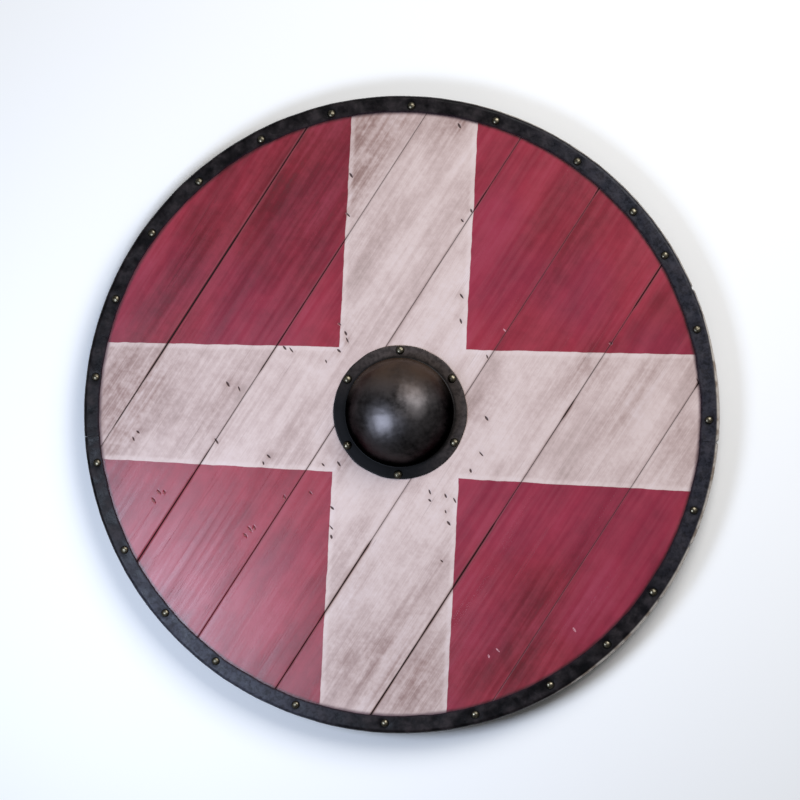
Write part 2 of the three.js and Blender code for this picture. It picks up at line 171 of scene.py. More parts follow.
class NodeBench:
    """One material's node tree, with short calls for the nodes that the finishes share."""

    def __init__(self, name: str) -> None:
        """Starts a material with a Principled shader on its output.

        Args:
            name: the material's name.
        """
        self.material = bpy.data.materials.new(name)
        self.material.use_nodes = True
        self.tree = self.material.node_tree
        self.tree.nodes.clear()
        self.shader = self._node("BsdfPrincipled", {})
        self._node("OutputMaterial", {"Surface": self.shader.outputs["BSDF"]})
        self.place = self._node("TexCoord", {}).outputs["Object"]

    def _feed(self, socket: Socket, value: Feed) -> None:
        """Links a socket to a level or another socket, or sets its value.

        Args:
            socket: the input.
            value: what goes in. None leaves the input as it is.
        """
        if isinstance(value, (Level, Socket)):
            self.tree.links.new(value.socket if isinstance(value, Level) else value, socket)
        elif isinstance(value, (int, float)):
            socket.default_value = value
        elif value is not None:
            wanted = len(socket.default_value)
            socket.default_value = (*value, 1.0)[:wanted]

    def _node(self, kind: str, inputs: dict[str | int, Feed], **options: str) -> bpy.types.Node:
        """Adds a node.

        Args:
            kind: its type.
            inputs: what goes into its inputs, by name or number.
            options: its settings, such as an operation.

        Returns:
            The node.
        """
        node = self.tree.nodes.new(f"ShaderNode{kind}")
        for name, choice in options.items():
            setattr(node, name, choice)
        for name, value in inputs.items():
            self._feed(node.inputs[name], value)
        return node

    def set(self, **values: Feed) -> None:
        """Sets or links inputs of the shader, named with underscores for spaces."""
        for name, value in values.items():
            self._feed(self.shader.inputs[name.replace("_", " ")], value)

    def math(self, operation: str, first: Level | float, second: Level | float = 0.0) -> Level:
        """A Math node of one or two inputs."""
        return Level(self, self._node("Math", {0: first, 1: second}, operation=operation).outputs[0])

    def most(self, first: Level, *others: Level | float) -> Level:
        """The highest of some levels at each place.

        Args:
            first: the first of them.
            others: the rest.

        Returns:
            The highest.
        """
        for other in others:
            first = self.math("MAXIMUM", first, other)
        return first

    def total(self, level: float, *patterns: tuple[Level, float]) -> Level:
        """A level with patterns added that swing about 0.5.

        Args:
            level: the level where every pattern is at 0.5.
            patterns: each pattern with its weight.

        Returns:
            The sum.
        """
        base = level - 0.5 * sum(weight for _, weight in patterns)
        for pattern, weight in patterns:
            base = base + pattern * weight
        return base

    def remap(self, value: Level, low: float, high: float, start: float = 0.0, end: float = 1.0) -> Level:
        """Maps low..high to start..end with a smooth, clamped step."""
        limits = {"From Min": low, "From Max": high, "To Min": start, "To Max": end}
        return Level(self, self._node("MapRange", {"Value": value, **limits},
                                      interpolation_type="SMOOTHSTEP").outputs["Result"])

    def mix(self, share: Level, first: Socket | Colour, second: Socket | Colour, kind: str = "MIX") -> Socket:
        """Mixes two colours with the given blend type."""
        node = self._node("Mix", {0: share, 6: first, 7: second}, data_type="RGBA", blend_type=kind)
        return node.outputs[2]

    def tint(self, share: Level, first: Socket, second: Colour) -> Socket:
        """Multiplies a colour by a second one, by a share."""
        return self.mix(share, first, second, "MULTIPLY")

    def coat(self, colour: Socket | Colour, *coats: tuple[Level, Socket | Colour]) -> Socket:
        """Lays coats over a colour.

        Args:
            colour: what lies below.
            coats: each coat's share at each place and its colour, in order.

        Returns:
            The colour seen.
        """
        for share, top in coats:
            colour = self.mix(share, colour, top)
        return colour

    def stretch(self, vector: Socket, scale: Sequence[float], turn: float = 0.0) -> Socket:
        """Turns a vector about Z, then scales it: a pattern read from it is stretched along X.

        Args:
            vector: the places.
            scale: the scale along each axis.
            turn: the turn, in radians.

        Returns:
            The new places.
        """
        turned = self._node("Mapping", {"Vector": vector, "Rotation": (0.0, 0.0, turn)})
        scaled = self._node("VectorMath", {0: turned.outputs[0], 1: scale}, operation="MULTIPLY")
        return scaled.outputs[0]

    def shift(self, vector: Socket, amount: Level, way: Sequence[float]) -> Socket:
        """Moves a vector by an amount that may vary over the piece.

        Args:
            vector: the places.
            amount: how far they move.
            way: the way that they move for an amount of 1.

        Returns:
            The new places.
        """
        amounts = self._node("CombineXYZ", {0: amount, 1: amount, 2: amount})
        moved = self._node("VectorMath", {0: amounts.outputs[0], 1: way, 2: vector}, operation="MULTIPLY_ADD")
        return moved.outputs[0]

    def noise(self, vector: Socket, scale: float, detail: float = 2.0, roughness: float = 0.5,
              distortion: float = 0.0) -> Level:
        """A noise pattern's factor."""
        inputs = {"Scale": scale, "Detail": detail, "Roughness": roughness, "Distortion": distortion}
        return Level(self, self._node("TexNoise", {"Vector": vector, **inputs}).outputs[0])

    def cells(self, vector: Socket, scale: float) -> Level:
        """The distance pattern of a Voronoi texture."""
        return Level(self, self._node("TexVoronoi", {"Vector": vector, "Scale": scale}).outputs["Distance"])

    def ramp(self, value: Level, places: Sequence[float], colours: Sequence[Colour]) -> Socket:
        """A colour ramp.

        Args:
            value: what is looked up in it.
            places: where its colours stand, from 0 to 1.
            colours: the colour at each place.

        Returns:
            The colour.
        """
        node = self._node("ValToRGB", {0: value})
        elements = node.color_ramp.elements
        while len(elements) < len(places):
            elements.new(0.5)
        for element, place, colour in zip(elements, places, colours):
            element.position = place
            element.color = (*colour, 1.0)
        return node.outputs[0]

    def parts(self) -> list[Level]:
        """A place's X, Y and Z."""
        return [Level(self, output) for output in self._node("SeparateXYZ", {0: self.place}).outputs]

    def away_from(self, centre: Pair) -> Level:
        """How far a place lies from an upright axis."""
        across, up, _ = self.parts()
        return self.math("SQRT", (across - centre[0]) ** 2.0 + (up - centre[1]) ** 2.0)

    def mark(self, name: str) -> Level:
        """A number painted on the piece's vertices."""
        return Level(self, self._node("Attribute", {}, attribute_name=name).outputs["Fac"])

    def bump(self, height: Level, distance: float, strength: float, base: Socket | None = None) -> Socket:
        """A Bump node's normal, on top of another one if given."""
        return self._node("Bump", {"Height": height, "Distance": distance, "Strength": strength,
                                   "Normal": base}).outputs[0]


# ---- Pieces ----


class Slot(Enum):
    """The record's material slots."""

    BOARDS = "painted_boards"
    EDGING = "edging_leather"
    BOSS = "boss_iron"
    BRASS = "tack_brass"
    BATTEN = "batten_wood"


def mesh_of(name: str, bm: Shape) -> bpy.types.Mesh:
    """Turns a bmesh into a mesh.

    Args:
        name: the mesh's name.
        bm: the shape. It is freed.

    Returns:
        The mesh.
    """
    mesh = bpy.data.meshes.new(name)
    bm.to_mesh(mesh)
    bm.free()
    return mesh


def placed(name: str, data: bpy.types.ID) -> Piece:
    """Puts a new object in the scene.

    Args:
        name: its name.
        data: the mesh, light or camera that it holds.

    Returns:
        The object.
    """
    thing = bpy.data.objects.new(name, data)
    bpy.context.scene.collection.objects.link(thing)
    return thing


def axis_of(node: str, height: float) -> Vector:
    """The point of a CAD node's upright middle axis at a height."""
    low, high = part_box(node)
    return Vector(((low.x + high.x) / 2, (low.y + high.y) / 2, height))


def add_piece(name: str, bm: Shape, material: Material, nodes: Iterable[str],
              sharp_degrees: float = 35.0) -> Piece:
    """Turns a bmesh into a finished piece that stands for CAD nodes and rides with them.

    Args:
        name: the piece's name.
        bm: its shape, in the row frame. It is freed.
        material: its finish.
        nodes: the CAD nodes that it replaces.
        sharp_degrees: edges that turn by more than this stay crisp.

    Returns:
        The piece's object.
    """
    mesh = mesh_of(name, bm)
    for polygon in mesh.polygons:
        polygon.use_smooth = True
    mesh.set_sharp_from_angle(angle=math.radians(sharp_degrees))
    mesh.materials.append(material)
    piece = placed(name, mesh)
    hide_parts(*nodes)
    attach(piece, "root")
    LOG.info("%s: %d faces", name, len(mesh.polygons))
    return piece


class Marks:
    """Numbers on a shape's vertices that its finish reads."""

    def __init__(self, bm: Shape, *names: str) -> None:
        """Adds the named marks to a shape."""
        self.layers = {name: bm.verts.layers.float.new(name) for name in names}

    def write(self, vert: bmesh.types.BMVert, **values: float) -> None:
        """Writes marks of a vertex, by name."""
        for name, value in values.items():
            vert[self.layers[name]] = value


def face_outwards(bm: Shape) -> None:
    """Turns every face of a closed shape outwards.

    Args:
        bm: the shape.
    """
    bm.normal_update()
    bmesh.ops.recalc_face_normals(bm, faces=bm.faces[:])
    bm.normal_update()


def netted_cube(counts: Sequence[int]) -> Shape:
    """A cube of side 2 with a net of faces.

    Args:
        counts: how many faces lie along each axis.

    Returns:
        The shape, to be carved by moving its vertices.
    """
    bm = bmesh.new()
    bmesh.ops.create_cube(bm, size=2.0)
    shortest_edge = 1e-4
    for axis, count in enumerate(counts):
        running = [edge for edge in bm.edges
                   if abs(edge.verts[0].co[axis] - edge.verts[1].co[axis]) > shortest_edge]
        bmesh.ops.subdivide_edges(bm, edges=running, cuts=count - 1, use_grid_fill=True)
    return bm


def spun(profile: Sequence[Pair], centre: Vector, steps: int) -> Shape:
    """Turns a profile of (radius, height) points once round an upright axis.

    Args:
        profile: the points, from the axis back to the axis or closing on themselves.
        centre: a point of the axis.
        steps: sides of the full turn.

    Returns:
        A closed shape with its faces outwards.
    """
    bm = bmesh.new()
    chain = [bm.verts.new((centre.x + radius, centre.y, height)) for radius, height in profile]
    edges = [bm.edges.new(pair) for pair in zip(chain, chain[1:])]
    bmesh.ops.spin(bm, geom=chain + edges, cent=centre, axis=(0.0, 0.0, 1.0), dvec=(0.0, 0.0, 0.0),
                   angle=math.tau, steps=steps, use_merge=True)
    bmesh.ops.remove_doubles(bm, verts=bm.verts[:], dist=0.01 * MM)
    face_outwards(bm)
    return bm


def arc(centre: Pair, radius: float, start: float, end: float, steps: int,
        squash: float = 1.0) -> list[Pair]:
    """Points of a turn about a centre, angles in degrees, ends included.

    Args:
        centre: the turn's centre.
        radius: its radius along the first axis.
        start: the first angle.
        end: the last angle.
        steps: how many stretches.
        squash: the radius along the second axis as a share of the first.

    Returns:
        The points as pairs.
    """
    points = []
    for step in range(steps + 1):
        angle = math.radians(blend(start, end, step / steps))
        points.append((centre[0] + radius * math.cos(angle), centre[1] + squash * radius * math.sin(angle)))
    return points


def walk(start: Pair, end: Pair, steps: int) -> list[Pair]:
    """Evenly spaced points of a straight line, without its end."""
    return [(blend(start[0], end[0], step / steps), blend(start[1], end[1], step / steps))
            for step in range(steps)]


@dataclass(frozen=True)
class ShieldPlan:
    """Where the frame puts the disc, the edging and the boss."""

    radius: float
    boards_back: float
    boards_face: float
    edging_back: float
    edging_face: float
    boss_low: Vector
    boss_high: Vector

    @classmethod
    def from_frame(cls) -> ShieldPlan:
        """Reads the plan off the frame's boxes.

        Returns:
            The plan.
        """
        edging_low, edging_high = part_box("rim_strip_upper")
        boards_low, boards_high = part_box("board_4")
        boss_low, boss_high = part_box("boss")
        return cls(edging_high.x, boards_low.z, boards_high.z, edging_low.z, edging_high.z,
                   boss_low, boss_high)

    @property
    def boss_centre(self) -> Vector:
        """The middle of the boss, on the boards' face."""
        middle = (self.boss_low + self.boss_high) / 2
        return Vector((middle.x, middle.y, self.boards_face))


# ---- Boards ----


@dataclass(frozen=True)
class Grain:
    """The slant that all the boards share."""

    slant: float = math.radians(57.0)

    @property
    def along(self) -> Vector:
        """The way that the grain runs."""
        return Vector((math.cos(self.slant), math.sin(self.slant), 0.0))

    @property
    def across(self) -> Vector:
        """Square to the grain, towards the lower right."""
        return Vector((math.sin(self.slant), -math.cos(self.slant), 0.0))

    def point(self, along: float, across: float, height: float) -> Vector:
        """A point given along and across the grain."""
        return self.along * along + self.across * across + Vector((0.0, 0.0, height))

    def measure(self, point: Vector) -> Pair:
        """How far a point lies along and across the grain."""
        return point.dot(self.along), point.dot(self.across)


@dataclass(frozen=True)
class Seam:
    """A joint between two boards: its offset across the grain, and its width at places along it."""

    offset: float
    widths: tuple[Pair, ...]

    def half_width(self, along: float) -> float:
        """Half of the gap at a place along the seam.

        Args:
            along: the place.

        Returns:
            The half width, in metres.
        """
        width = between(self.widths, along / MM)
        ragged = 0.25 * noise.noise(Vector((along * 55.0, self.offset * 90.0, 0.0)))
        return 0.5 * MM * max(0.08, width * (1.0 + ragged))

    def openness(self, along: float) -> float:
        """How far the boards stand apart at a place along the seam, from 0 to 1."""
        return ease(self.half_width(along), 0.1 * MM, 0.65 * MM)


@dataclass(frozen=True)
class Stain:
    """A soft patch of dirt that is drawn out along the grain, in millimetres."""

    x: float
    y: float
    half_length: float
    half_width: float
    strength: float


SEAMS = (
    Seam(-0.3100, ((-225, 0.3), (-205, 0.8), (-150, 0.7), (-140, 1.2), (-82, 1.5), (60, 1.5), (90, 0.9),
                   (235, 0.8))),
    Seam(-0.1873, ((-355, 1.0), (-180, 0.8), (-165, 0.5), (-60, 0.4), (-48, 0.8), (155, 0.6), (165, 0.3),
                   (330, 0.25))),
    Seam(-0.0655, ((-395, 0.5), (-88, 0.5), (-72, 0.5), (75, 0.4), (274, 0.45), (285, 0.8), (340, 0.3))),
    Seam(0.0573, ((-395, 0.7), (-290, 0.7), (-275, 1.1), (-170, 1.2), (-158, 0.4), (-60, 0.3), (138, 0.4),
                  (150, 0.2), (375, 0.2), (388, 0.8))),
    Seam(0.1816, ((-350, 1.2), (-62, 1.0), (-50, 0.45), (12, 0.4), (105, 0.55), (118, 1.2), (132, 1.1),
                  (142, 0.5), (204, 0.45), (215, 0.25), (280, 0.25), (292, 0.8), (356, 0.8))),
    Seam(0.3067, ((-250, 0.15), (80, 0.2), (92, 0.35), (238, 0.4), (246, 1.2), (258, 1.3))),
)

# Dirt on the face: x, y, half length, half width and strength.
STAINS = tuple(Stain(*row) for row in (
    (-103, 243, 130, 22, 0.6), (-135, 175, 120, 16, 0.25), (-300, 170, 90, 18, 0.3),
    (-140, 285, 130, 60, 0.5), (-260, 200, 150, 60, 0.25), (155, -285, 90, 45, 0.4),
    (-345, -10, 70, 50, 0.45), (-270, 0, 80, 60, 0.2), (10, 395, 30, 60, 0.4), (-60, 350, 60, 26, 0.6),
    (-40, 390, 30, 30, 0.5), (190, 262, 120, 16, 0.6), (255, 235, 60, 12, 0.4), (215, -220, 90, 22, 0.55),
    (150, -310, 60, 30, 0.35), (-380, 20, 60, 24, 0.9), (-385, -40, 40, 20, 0.6), (-335, 30, 60, 18, 0.5),
    (79, 385, 12, 9, 1.0), (60, 380, 30, 24, 0.5), (238, 62, 55, 12, 0.65), (322, 45, 70, 18, 0.5),
    (280, -10, 50, 22, 0.3), (-20, -350, 70, 55, 0.6), (35, -330, 60, 30, 0.4), (-240, 10, 60, 14, 0.35),
    (75, -20, 60, 12, 0.35), (-30, 240, 70, 14, 0.3), (105, 20, 40, 16, 0.35), (-60, -160, 60, 12, 0.3),
    (30, -230, 80, 14, 0.3), (-150, -20, 50, 12, 0.25), (360, -20, 40, 14, 0.3), (-80, 100, 40, 14, 0.35),
    (-115, 352, 80, 45, 0.7), (-335, 150, 60, 28, 0.35), (-79, -323, 70, 40, 0.5), (39, -363, 60, 35, 0.5),
    (-66, -218, 60, 16, 0.4), (-27, 374, 50, 30, 0.6), (-40, 309, 50, 14, 0.3), (263, 58, 50, 14, 0.5),
    (368, -60, 40, 25, 0.35), (-132, -34, 60, 20, 0.3), (-369, 72, 50, 26, 0.7), (230, 243, 90, 16, 0.4),
    (250, 282, 50, 20, 0.4), (210, 193, 70, 22, 0.45), (315, 230, 40, 18, 0.3), (347, 142, 35, 24, 0.35),
    (118, 335, 70, 14, 0.3), (171, -349, 70, 40, 0.45), (250, -270, 70, 28, 0.4), (158, -244, 60, 20, 0.25),
    (-72, -50, 26, 22, 0.6), (-145, 295, 80, 50, 0.4), (-310, 140, 70, 40, 0.35), (-250, 215, 60, 45, 0.25),
    (0, -250, 90, 80, 0.2),
))

# Where the grain has risen under the paint.
RAISED = (Stain(-262, -168, 110, 40, 1.0), Stain(-330, -95, 60, 30, 0.4), Stain(60, -330, 60, 30, 0.4))

# Places of the cuts in the face, in millimetres from its middle.
NICKS = (
    (-66, 315), (-70, 263), (93, 268), (81, 255), (80, 156), (79, 123), (-81, 119), (-73, 107), (-71, 98),
    (-82, 84), (-99, 70), (113, -5), (106, -52), (92, -74), (-103, -66), (-82, -65), (38, -102), (38, -113),
    (59, -107), (71, -113), (-91, -123), (59, -128), (63, -143), (-92, -149), (-92, -161), (54, -193),
    (-229, 40), (-214, 34), (-348, -23), (-354, -32), (-244, -35), (-175, -55), (-182, -64), (-154, 88),
    (-145, 85), (-154, -109), (-120, -103), (77, 380), (392, 44), (277, 94), (114, 76), (-327, -113),
    (-320, -102), (-313, -102), (-206, -159), (-200, -151), (-194, -149),
)

# Pale scrapes in the paint, in millimetres from the middle.
SCRAPES = ((229, -283), (128, -310), (116, -318), (137, 111), (100, 392))


@dataclass
class BoardRound:
    """The round of boards: seams of uneven width, eased edges, cupped faces, and cuts in the paint."""

    plan: ShieldPlan
    grain: Grain
    seams: tuple[Seam, ...] = SEAMS
    stains: tuple[Stain, ...] = STAINS
    raised: tuple[Stain, ...] = RAISED
    nicks: tuple[Pair, ...] = NICKS
    scrapes: tuple[Pair, ...] = SCRAPES
    edging_thickness: float = 2.8 * MM
    hand_hole_radius: float = 54.0 * MM
    rivet_hole_radius: float = 2.3 * MM
    rivet_count: int = 6
    usual_width: float = 0.123
    cells_along: int = 190
    cells_across: int = 62
    fewest_across: int = 20
    edge_crowding: float = 0.75
    # The net's depths below the face, and how far the rim is eased back at each, in millimetres.
    depths: tuple[float, ...] = (14.0, 12.6, 4.0, 1.2, 0.0)
    rim_insets: tuple[float, ...] = (2.2, 0.7, 0.0, 1.0, 2.2)
    # Deeper than the first is the back, shallower than the second the face, in millimetres.
    back_depth: float = 13.9
    face_depth: float = 0.1
    # How much of a seam's gap is open at each depth.
    groove: tuple[Pair, ...] = ((0.0, 1.0), (1.2, 0.85), (4.0, 0.15), (12.6, 0.15), (14.0, 0.5))
    # The eased edges, in millimetres: on the back, and on the face at a tight and at an open seam.
    back_rounding: float = 1.6
    face_rounding: Pair = (0.2, 1.1)
    unevenness: float = 0.1 * MM
    nick_length: float = 8.5 * MM
    nick_width: float = 3.2 * MM
    nick_depth: float = 1.1 * MM
    nick_slant: float = -57.0
    nick_scatter: float = 16.0
    nick_reach: float = 0.75
    nick_cuts: int = 4
    smudge: float = 0.45
    smudge_reach: float = 7.0 * MM
    # How far from the rim the dirt of the edging begins, and where it is full.
    worn_rim: Pair = (60.0 * MM, 20.0 * MM)

    def build(self, material: Material) -> list[Piece]:
        """Builds the seven boards.

        Args:
            material: the painted finish.

        Returns:
            One piece for each board.
        """
        reach = 0.99 * (self.plan.radius - self.edging_thickness)
        offsets = [-reach, *(seam.offset for seam in self.seams), reach]
        bounding: list[Seam | None] = [None, *self.seams, None]
        pieces = []
        for number, (low, high) in enumerate(zip(offsets, offsets[1:]), start=1):
            bm = self._blank(low, high)
            if low < 0.0 < high:
                bm = self._drilled(bm)
            self._refine_round_nicks(bm)
            self._weather(bm, number, low, high, bounding[number - 1], bounding[number])
            name = f"painted_board_{number}"
            pieces.append(add_piece(name, bm, material, [f"board_{number}"]))
        return pieces

    def _blank(self, low: float, high: float) -> Shape:
        """A board sawn to the round, with square edges and an even net of faces.

        Args:
            low: its upper left edge, as an offset across the grain.
            high: its lower right edge.

        Returns:
            The board's shape.
        """
        share = (high - low) / self.usual_width
        rows = max(self.fewest_across, round(self.cells_across * share))
        bm = netted_cube((self.cells_along, rows, len(self.depths) - 1))
        thickness = self.plan.boards_face - self.plan.boards_back
        for vert in bm.verts:
            level = round((vert.co.z + 1.0) / 2.0 * (len(self.depths) - 1))
            even = (vert.co.y + 1.0) / 2.0
            crowded = 0.5 - 0.5 * math.cos(math.pi * even)
            across = blend(low, high, blend(even, crowded, self.edge_crowding))
            radius = self.plan.radius - self.edging_thickness - self.rim_insets[level] * MM
            half_chord = math.sqrt(max(radius ** 2 - across ** 2, (8.0 * MM) ** 2))
            depth = self.depths[level] / self.depths[0] * thickness
            vert.co = self.grain.point(vert.co.x * half_chord, across, self.plan.boards_face - depth)
        face_outwards(bm)
        return bm

    def _drilled(self, bm: Shape) -> Shape:
        """Cuts the hand hole and the rivets' holes out of the middle board.

        Args:
            bm: the board's shape. It is freed.

        Returns:
            The drilled shape.
        """
        cutter = bmesh.new()
        bores = [("boss", self.hand_hole_radius, 96)]
        bores += [(f"boss_rivet_{number}", self.rivet_hole_radius, 16)
                  for number in range(1, self.rivet_count + 1)]
        for node, radius, sides in bores:
            spot = Matrix.Translation(axis_of(node, self.plan.boards_face))
            bmesh.ops.create_cone(cutter, cap_ends=True, segments=sides, radius1=radius, radius2=radius,
                                  depth=60.0 * MM, matrix=spot)
        blank = placed("board_blank", mesh_of("board_blank", bm))
        bore = placed("board_bores", mesh_of("board_bores", cutter))
        cut = blank.modifiers.new("bores", "BOOLEAN")
        cut.operation = "DIFFERENCE"
        cut.solver = "EXACT"
        cut.object = bore
        drilled = bmesh.new()
        drilled.from_object(blank, bpy.context.evaluated_depsgraph_get())
        for body in (blank, bore):
            mesh = body.data
            bpy.data.objects.remove(body)
            bpy.data.meshes.remove(mesh)
        return drilled

    def _refine_round_nicks(self, bm: Shape) -> None:
        """Makes the net finer on the face wherever a nick will be cut.

        Args:
            bm: the board's shape.
        """
        reach = self.nick_reach * self.nick_length
        spots = [Vector((x * MM, y * MM)) for x, y in self.nicks + self.scrapes]
        near = set()
        for face in bm.faces:
            if face.normal.z < 0.9:
                continue
            middle = face.calc_center_median().to_2d()
            if any((middle - spot).length < reach for spot in spots):
                near.update(face.edges)
        if near:
            bmesh.ops.subdivide_edges(bm, edges=list(near), cuts=self.nick_cuts, use_grid_fill=True)

    def _cut(self, cuts: Sequence[Pair], place: Vector) -> float:
        """How deep the given cuts go at a place of the face.

        Args:
            cuts: their middles, in millimetres.
            place: the place.

        Returns:
            The depth, from 0 to 1.
        """
        deepest = 0.0
        for index, (x, y) in enumerate(cuts):
            offset = place.to_2d() - Vector((x * MM, y * MM))
            if offset.length > self.nick_length:
                continue
            turn = math.radians(self.nick_slant + self.nick_scatter * math.sin(index * 2.3))
            size = 1.0 + 0.25 * math.sin(index * 1.7 + 0.6)
            along = offset.dot(Vector((math.cos(turn), math.sin(turn)))) / (0.5 * self.nick_length * size)
            breadth = 0.5 * self.nick_width * (1.0 + 0.3 * math.sin(index * 2.9 + 1.0))
            aside = offset.dot(Vector((-math.sin(turn), math.cos(turn)))) / breadth
            taper = max(0.0, 1.0 - along * along)
            deepest = max(deepest, ease(1.0 - abs(aside) / max(0.25, taper), 0.0, 0.9) * taper)
        return deepest

    def _patches(self, patches: Sequence[Stain], place: Vector) -> float:
        """How much of the given soft patches lies on a place.

        Args:
            patches: the patches.
            place: the place.

        Returns:
            The sum of their strengths there.
        """
        total = 0.0
        for patch in patches:
            far, aside = self.grain.measure(Vector((place.x - patch.x * MM, place.y - patch.y * MM, 0.0)))
            span = (far / (patch.half_length * MM)) ** 2 + (aside / (patch.half_width * MM)) ** 2
            total += patch.strength * math.exp(-span)
        return total

    def _grime(self, along: float, across: float, place: Vector) -> float:
        """How dirty the face is at a place.

        Args:
            along: how far the place lies along the grain.
            across: how far it lies across the grain.
            place: the place itself.

        Returns:
            The dirt, from 0 to 1.
        """
        streak = 0.5 + 0.5 * noise.fractal(Vector((along * 6.0, across * 85.0, 4.0)), 1.0, 2.0, 3)
        smear = self._patches(self.stains, place) * blend(0.55, 1.35, streak)
        near_cut = min((place.to_2d() - Vector((x * MM, y * MM))).length for x, y in self.nicks)
        smudge = self.smudge * math.exp(-(near_cut / self.smudge_reach) ** 2)
        return min(1.0, smear + smudge * blend(0.4, 1.2, streak))

    def _weather(self, bm: Shape, number: int, low: float, high: float,
                 low_seam: Seam | None, high_seam: Seam | None) -> None:
        """Gives a board its relief, and paints its marks for the finish.

        Args:
            bm: the board's shape.
            number: its number from the upper left, which varies its cupping and its level.
            low: its upper left edge, as an offset across the grain.
            high: its lower right edge.
            low_seam: the seam at the upper left edge, if it isn't at the rim.
            high_seam: the seam at the lower right edge.
        """
        marks = Marks(bm, "board", "tone", "grime", "raised", "nick", "scrape", "seam", "gap", "face", "rim")
        dice = random.Random(40 + number)
        level = dice.uniform(0.05, 0.3) * MM
        tilt = dice.uniform(-0.2, 0.2) * MM
        cup = dice.uniform(0.1, 0.4) * MM
        tone = dice.uniform(-1.0, 1.0)
        middle = (low + high) / 2
        half = (high - low) / 2
        worn = [self.plan.radius - inset for inset in self.worn_rim]
        for vert in bm.verts:
            along, across = self.grain.measure(vert.co)
            depth = (self.plan.boards_face - vert.co.z) / MM
            side = (across - middle) / half
            seam = high_seam if side > 0.0 else low_seam
            to_edge = half * (1.0 - abs(side))
            inset = seam.half_width(along) * between(self.groove, depth) if seam else 0.0
            shift = -math.copysign(inset, side) * abs(side) ** 6
            openness = seam.openness(along) if seam else 0.0
            behind = depth > self.back_depth
            rounding = (self.back_rounding if behind else blend(*self.face_rounding, openness)) * MM
            eased = 0.0
            if seam and to_edge < rounding:
                eased = rounding - math.sqrt(rounding ** 2 - (rounding - max(0.0, to_edge)) ** 2)
            drop = -eased if behind else 0.0
            nick = 0.0
            scrape = 0.0
            if depth < self.face_depth:
                drop = eased
                nick = self._cut(self.nicks, vert.co)
                scrape = self._cut(self.scrapes, vert.co)
                drop += level + tilt * side + cup * side * side + nick * self.nick_depth
                drop += self.unevenness * lump(Vector((along * 0.15, across, number)), 0.02)
                drop = max(0.0, drop)
            marks.write(vert, board=float(number), tone=tone, nick=nick, scrape=scrape,
                        grime=self._grime(along, across, vert.co), raised=self._patches(self.raised, vert.co),
                        face=ease(depth, 3.5, 0.8), rim=ease(math.hypot(along, across), *worn))
            if seam:
                # Painted shade: the walls of a seam's gap are darkened towards the edge and below the face,
                # but not on the back.
                gap_shade = ease(to_edge, 1.2 * MM, 0.1 * MM) * blend(0.5, 1.0, ease(depth, self.face_depth, 0.9))
                marks.write(vert, gap=gap_shade * ease(depth, self.back_depth, 12.8),
                            seam=ease(to_edge, 5.0 * MM, 0.0) * blend(0.5, 1.0, openness))
            vert.co += self.grain.across * shift - Vector((0.0, 0.0, drop))
        face_outwards(bm)


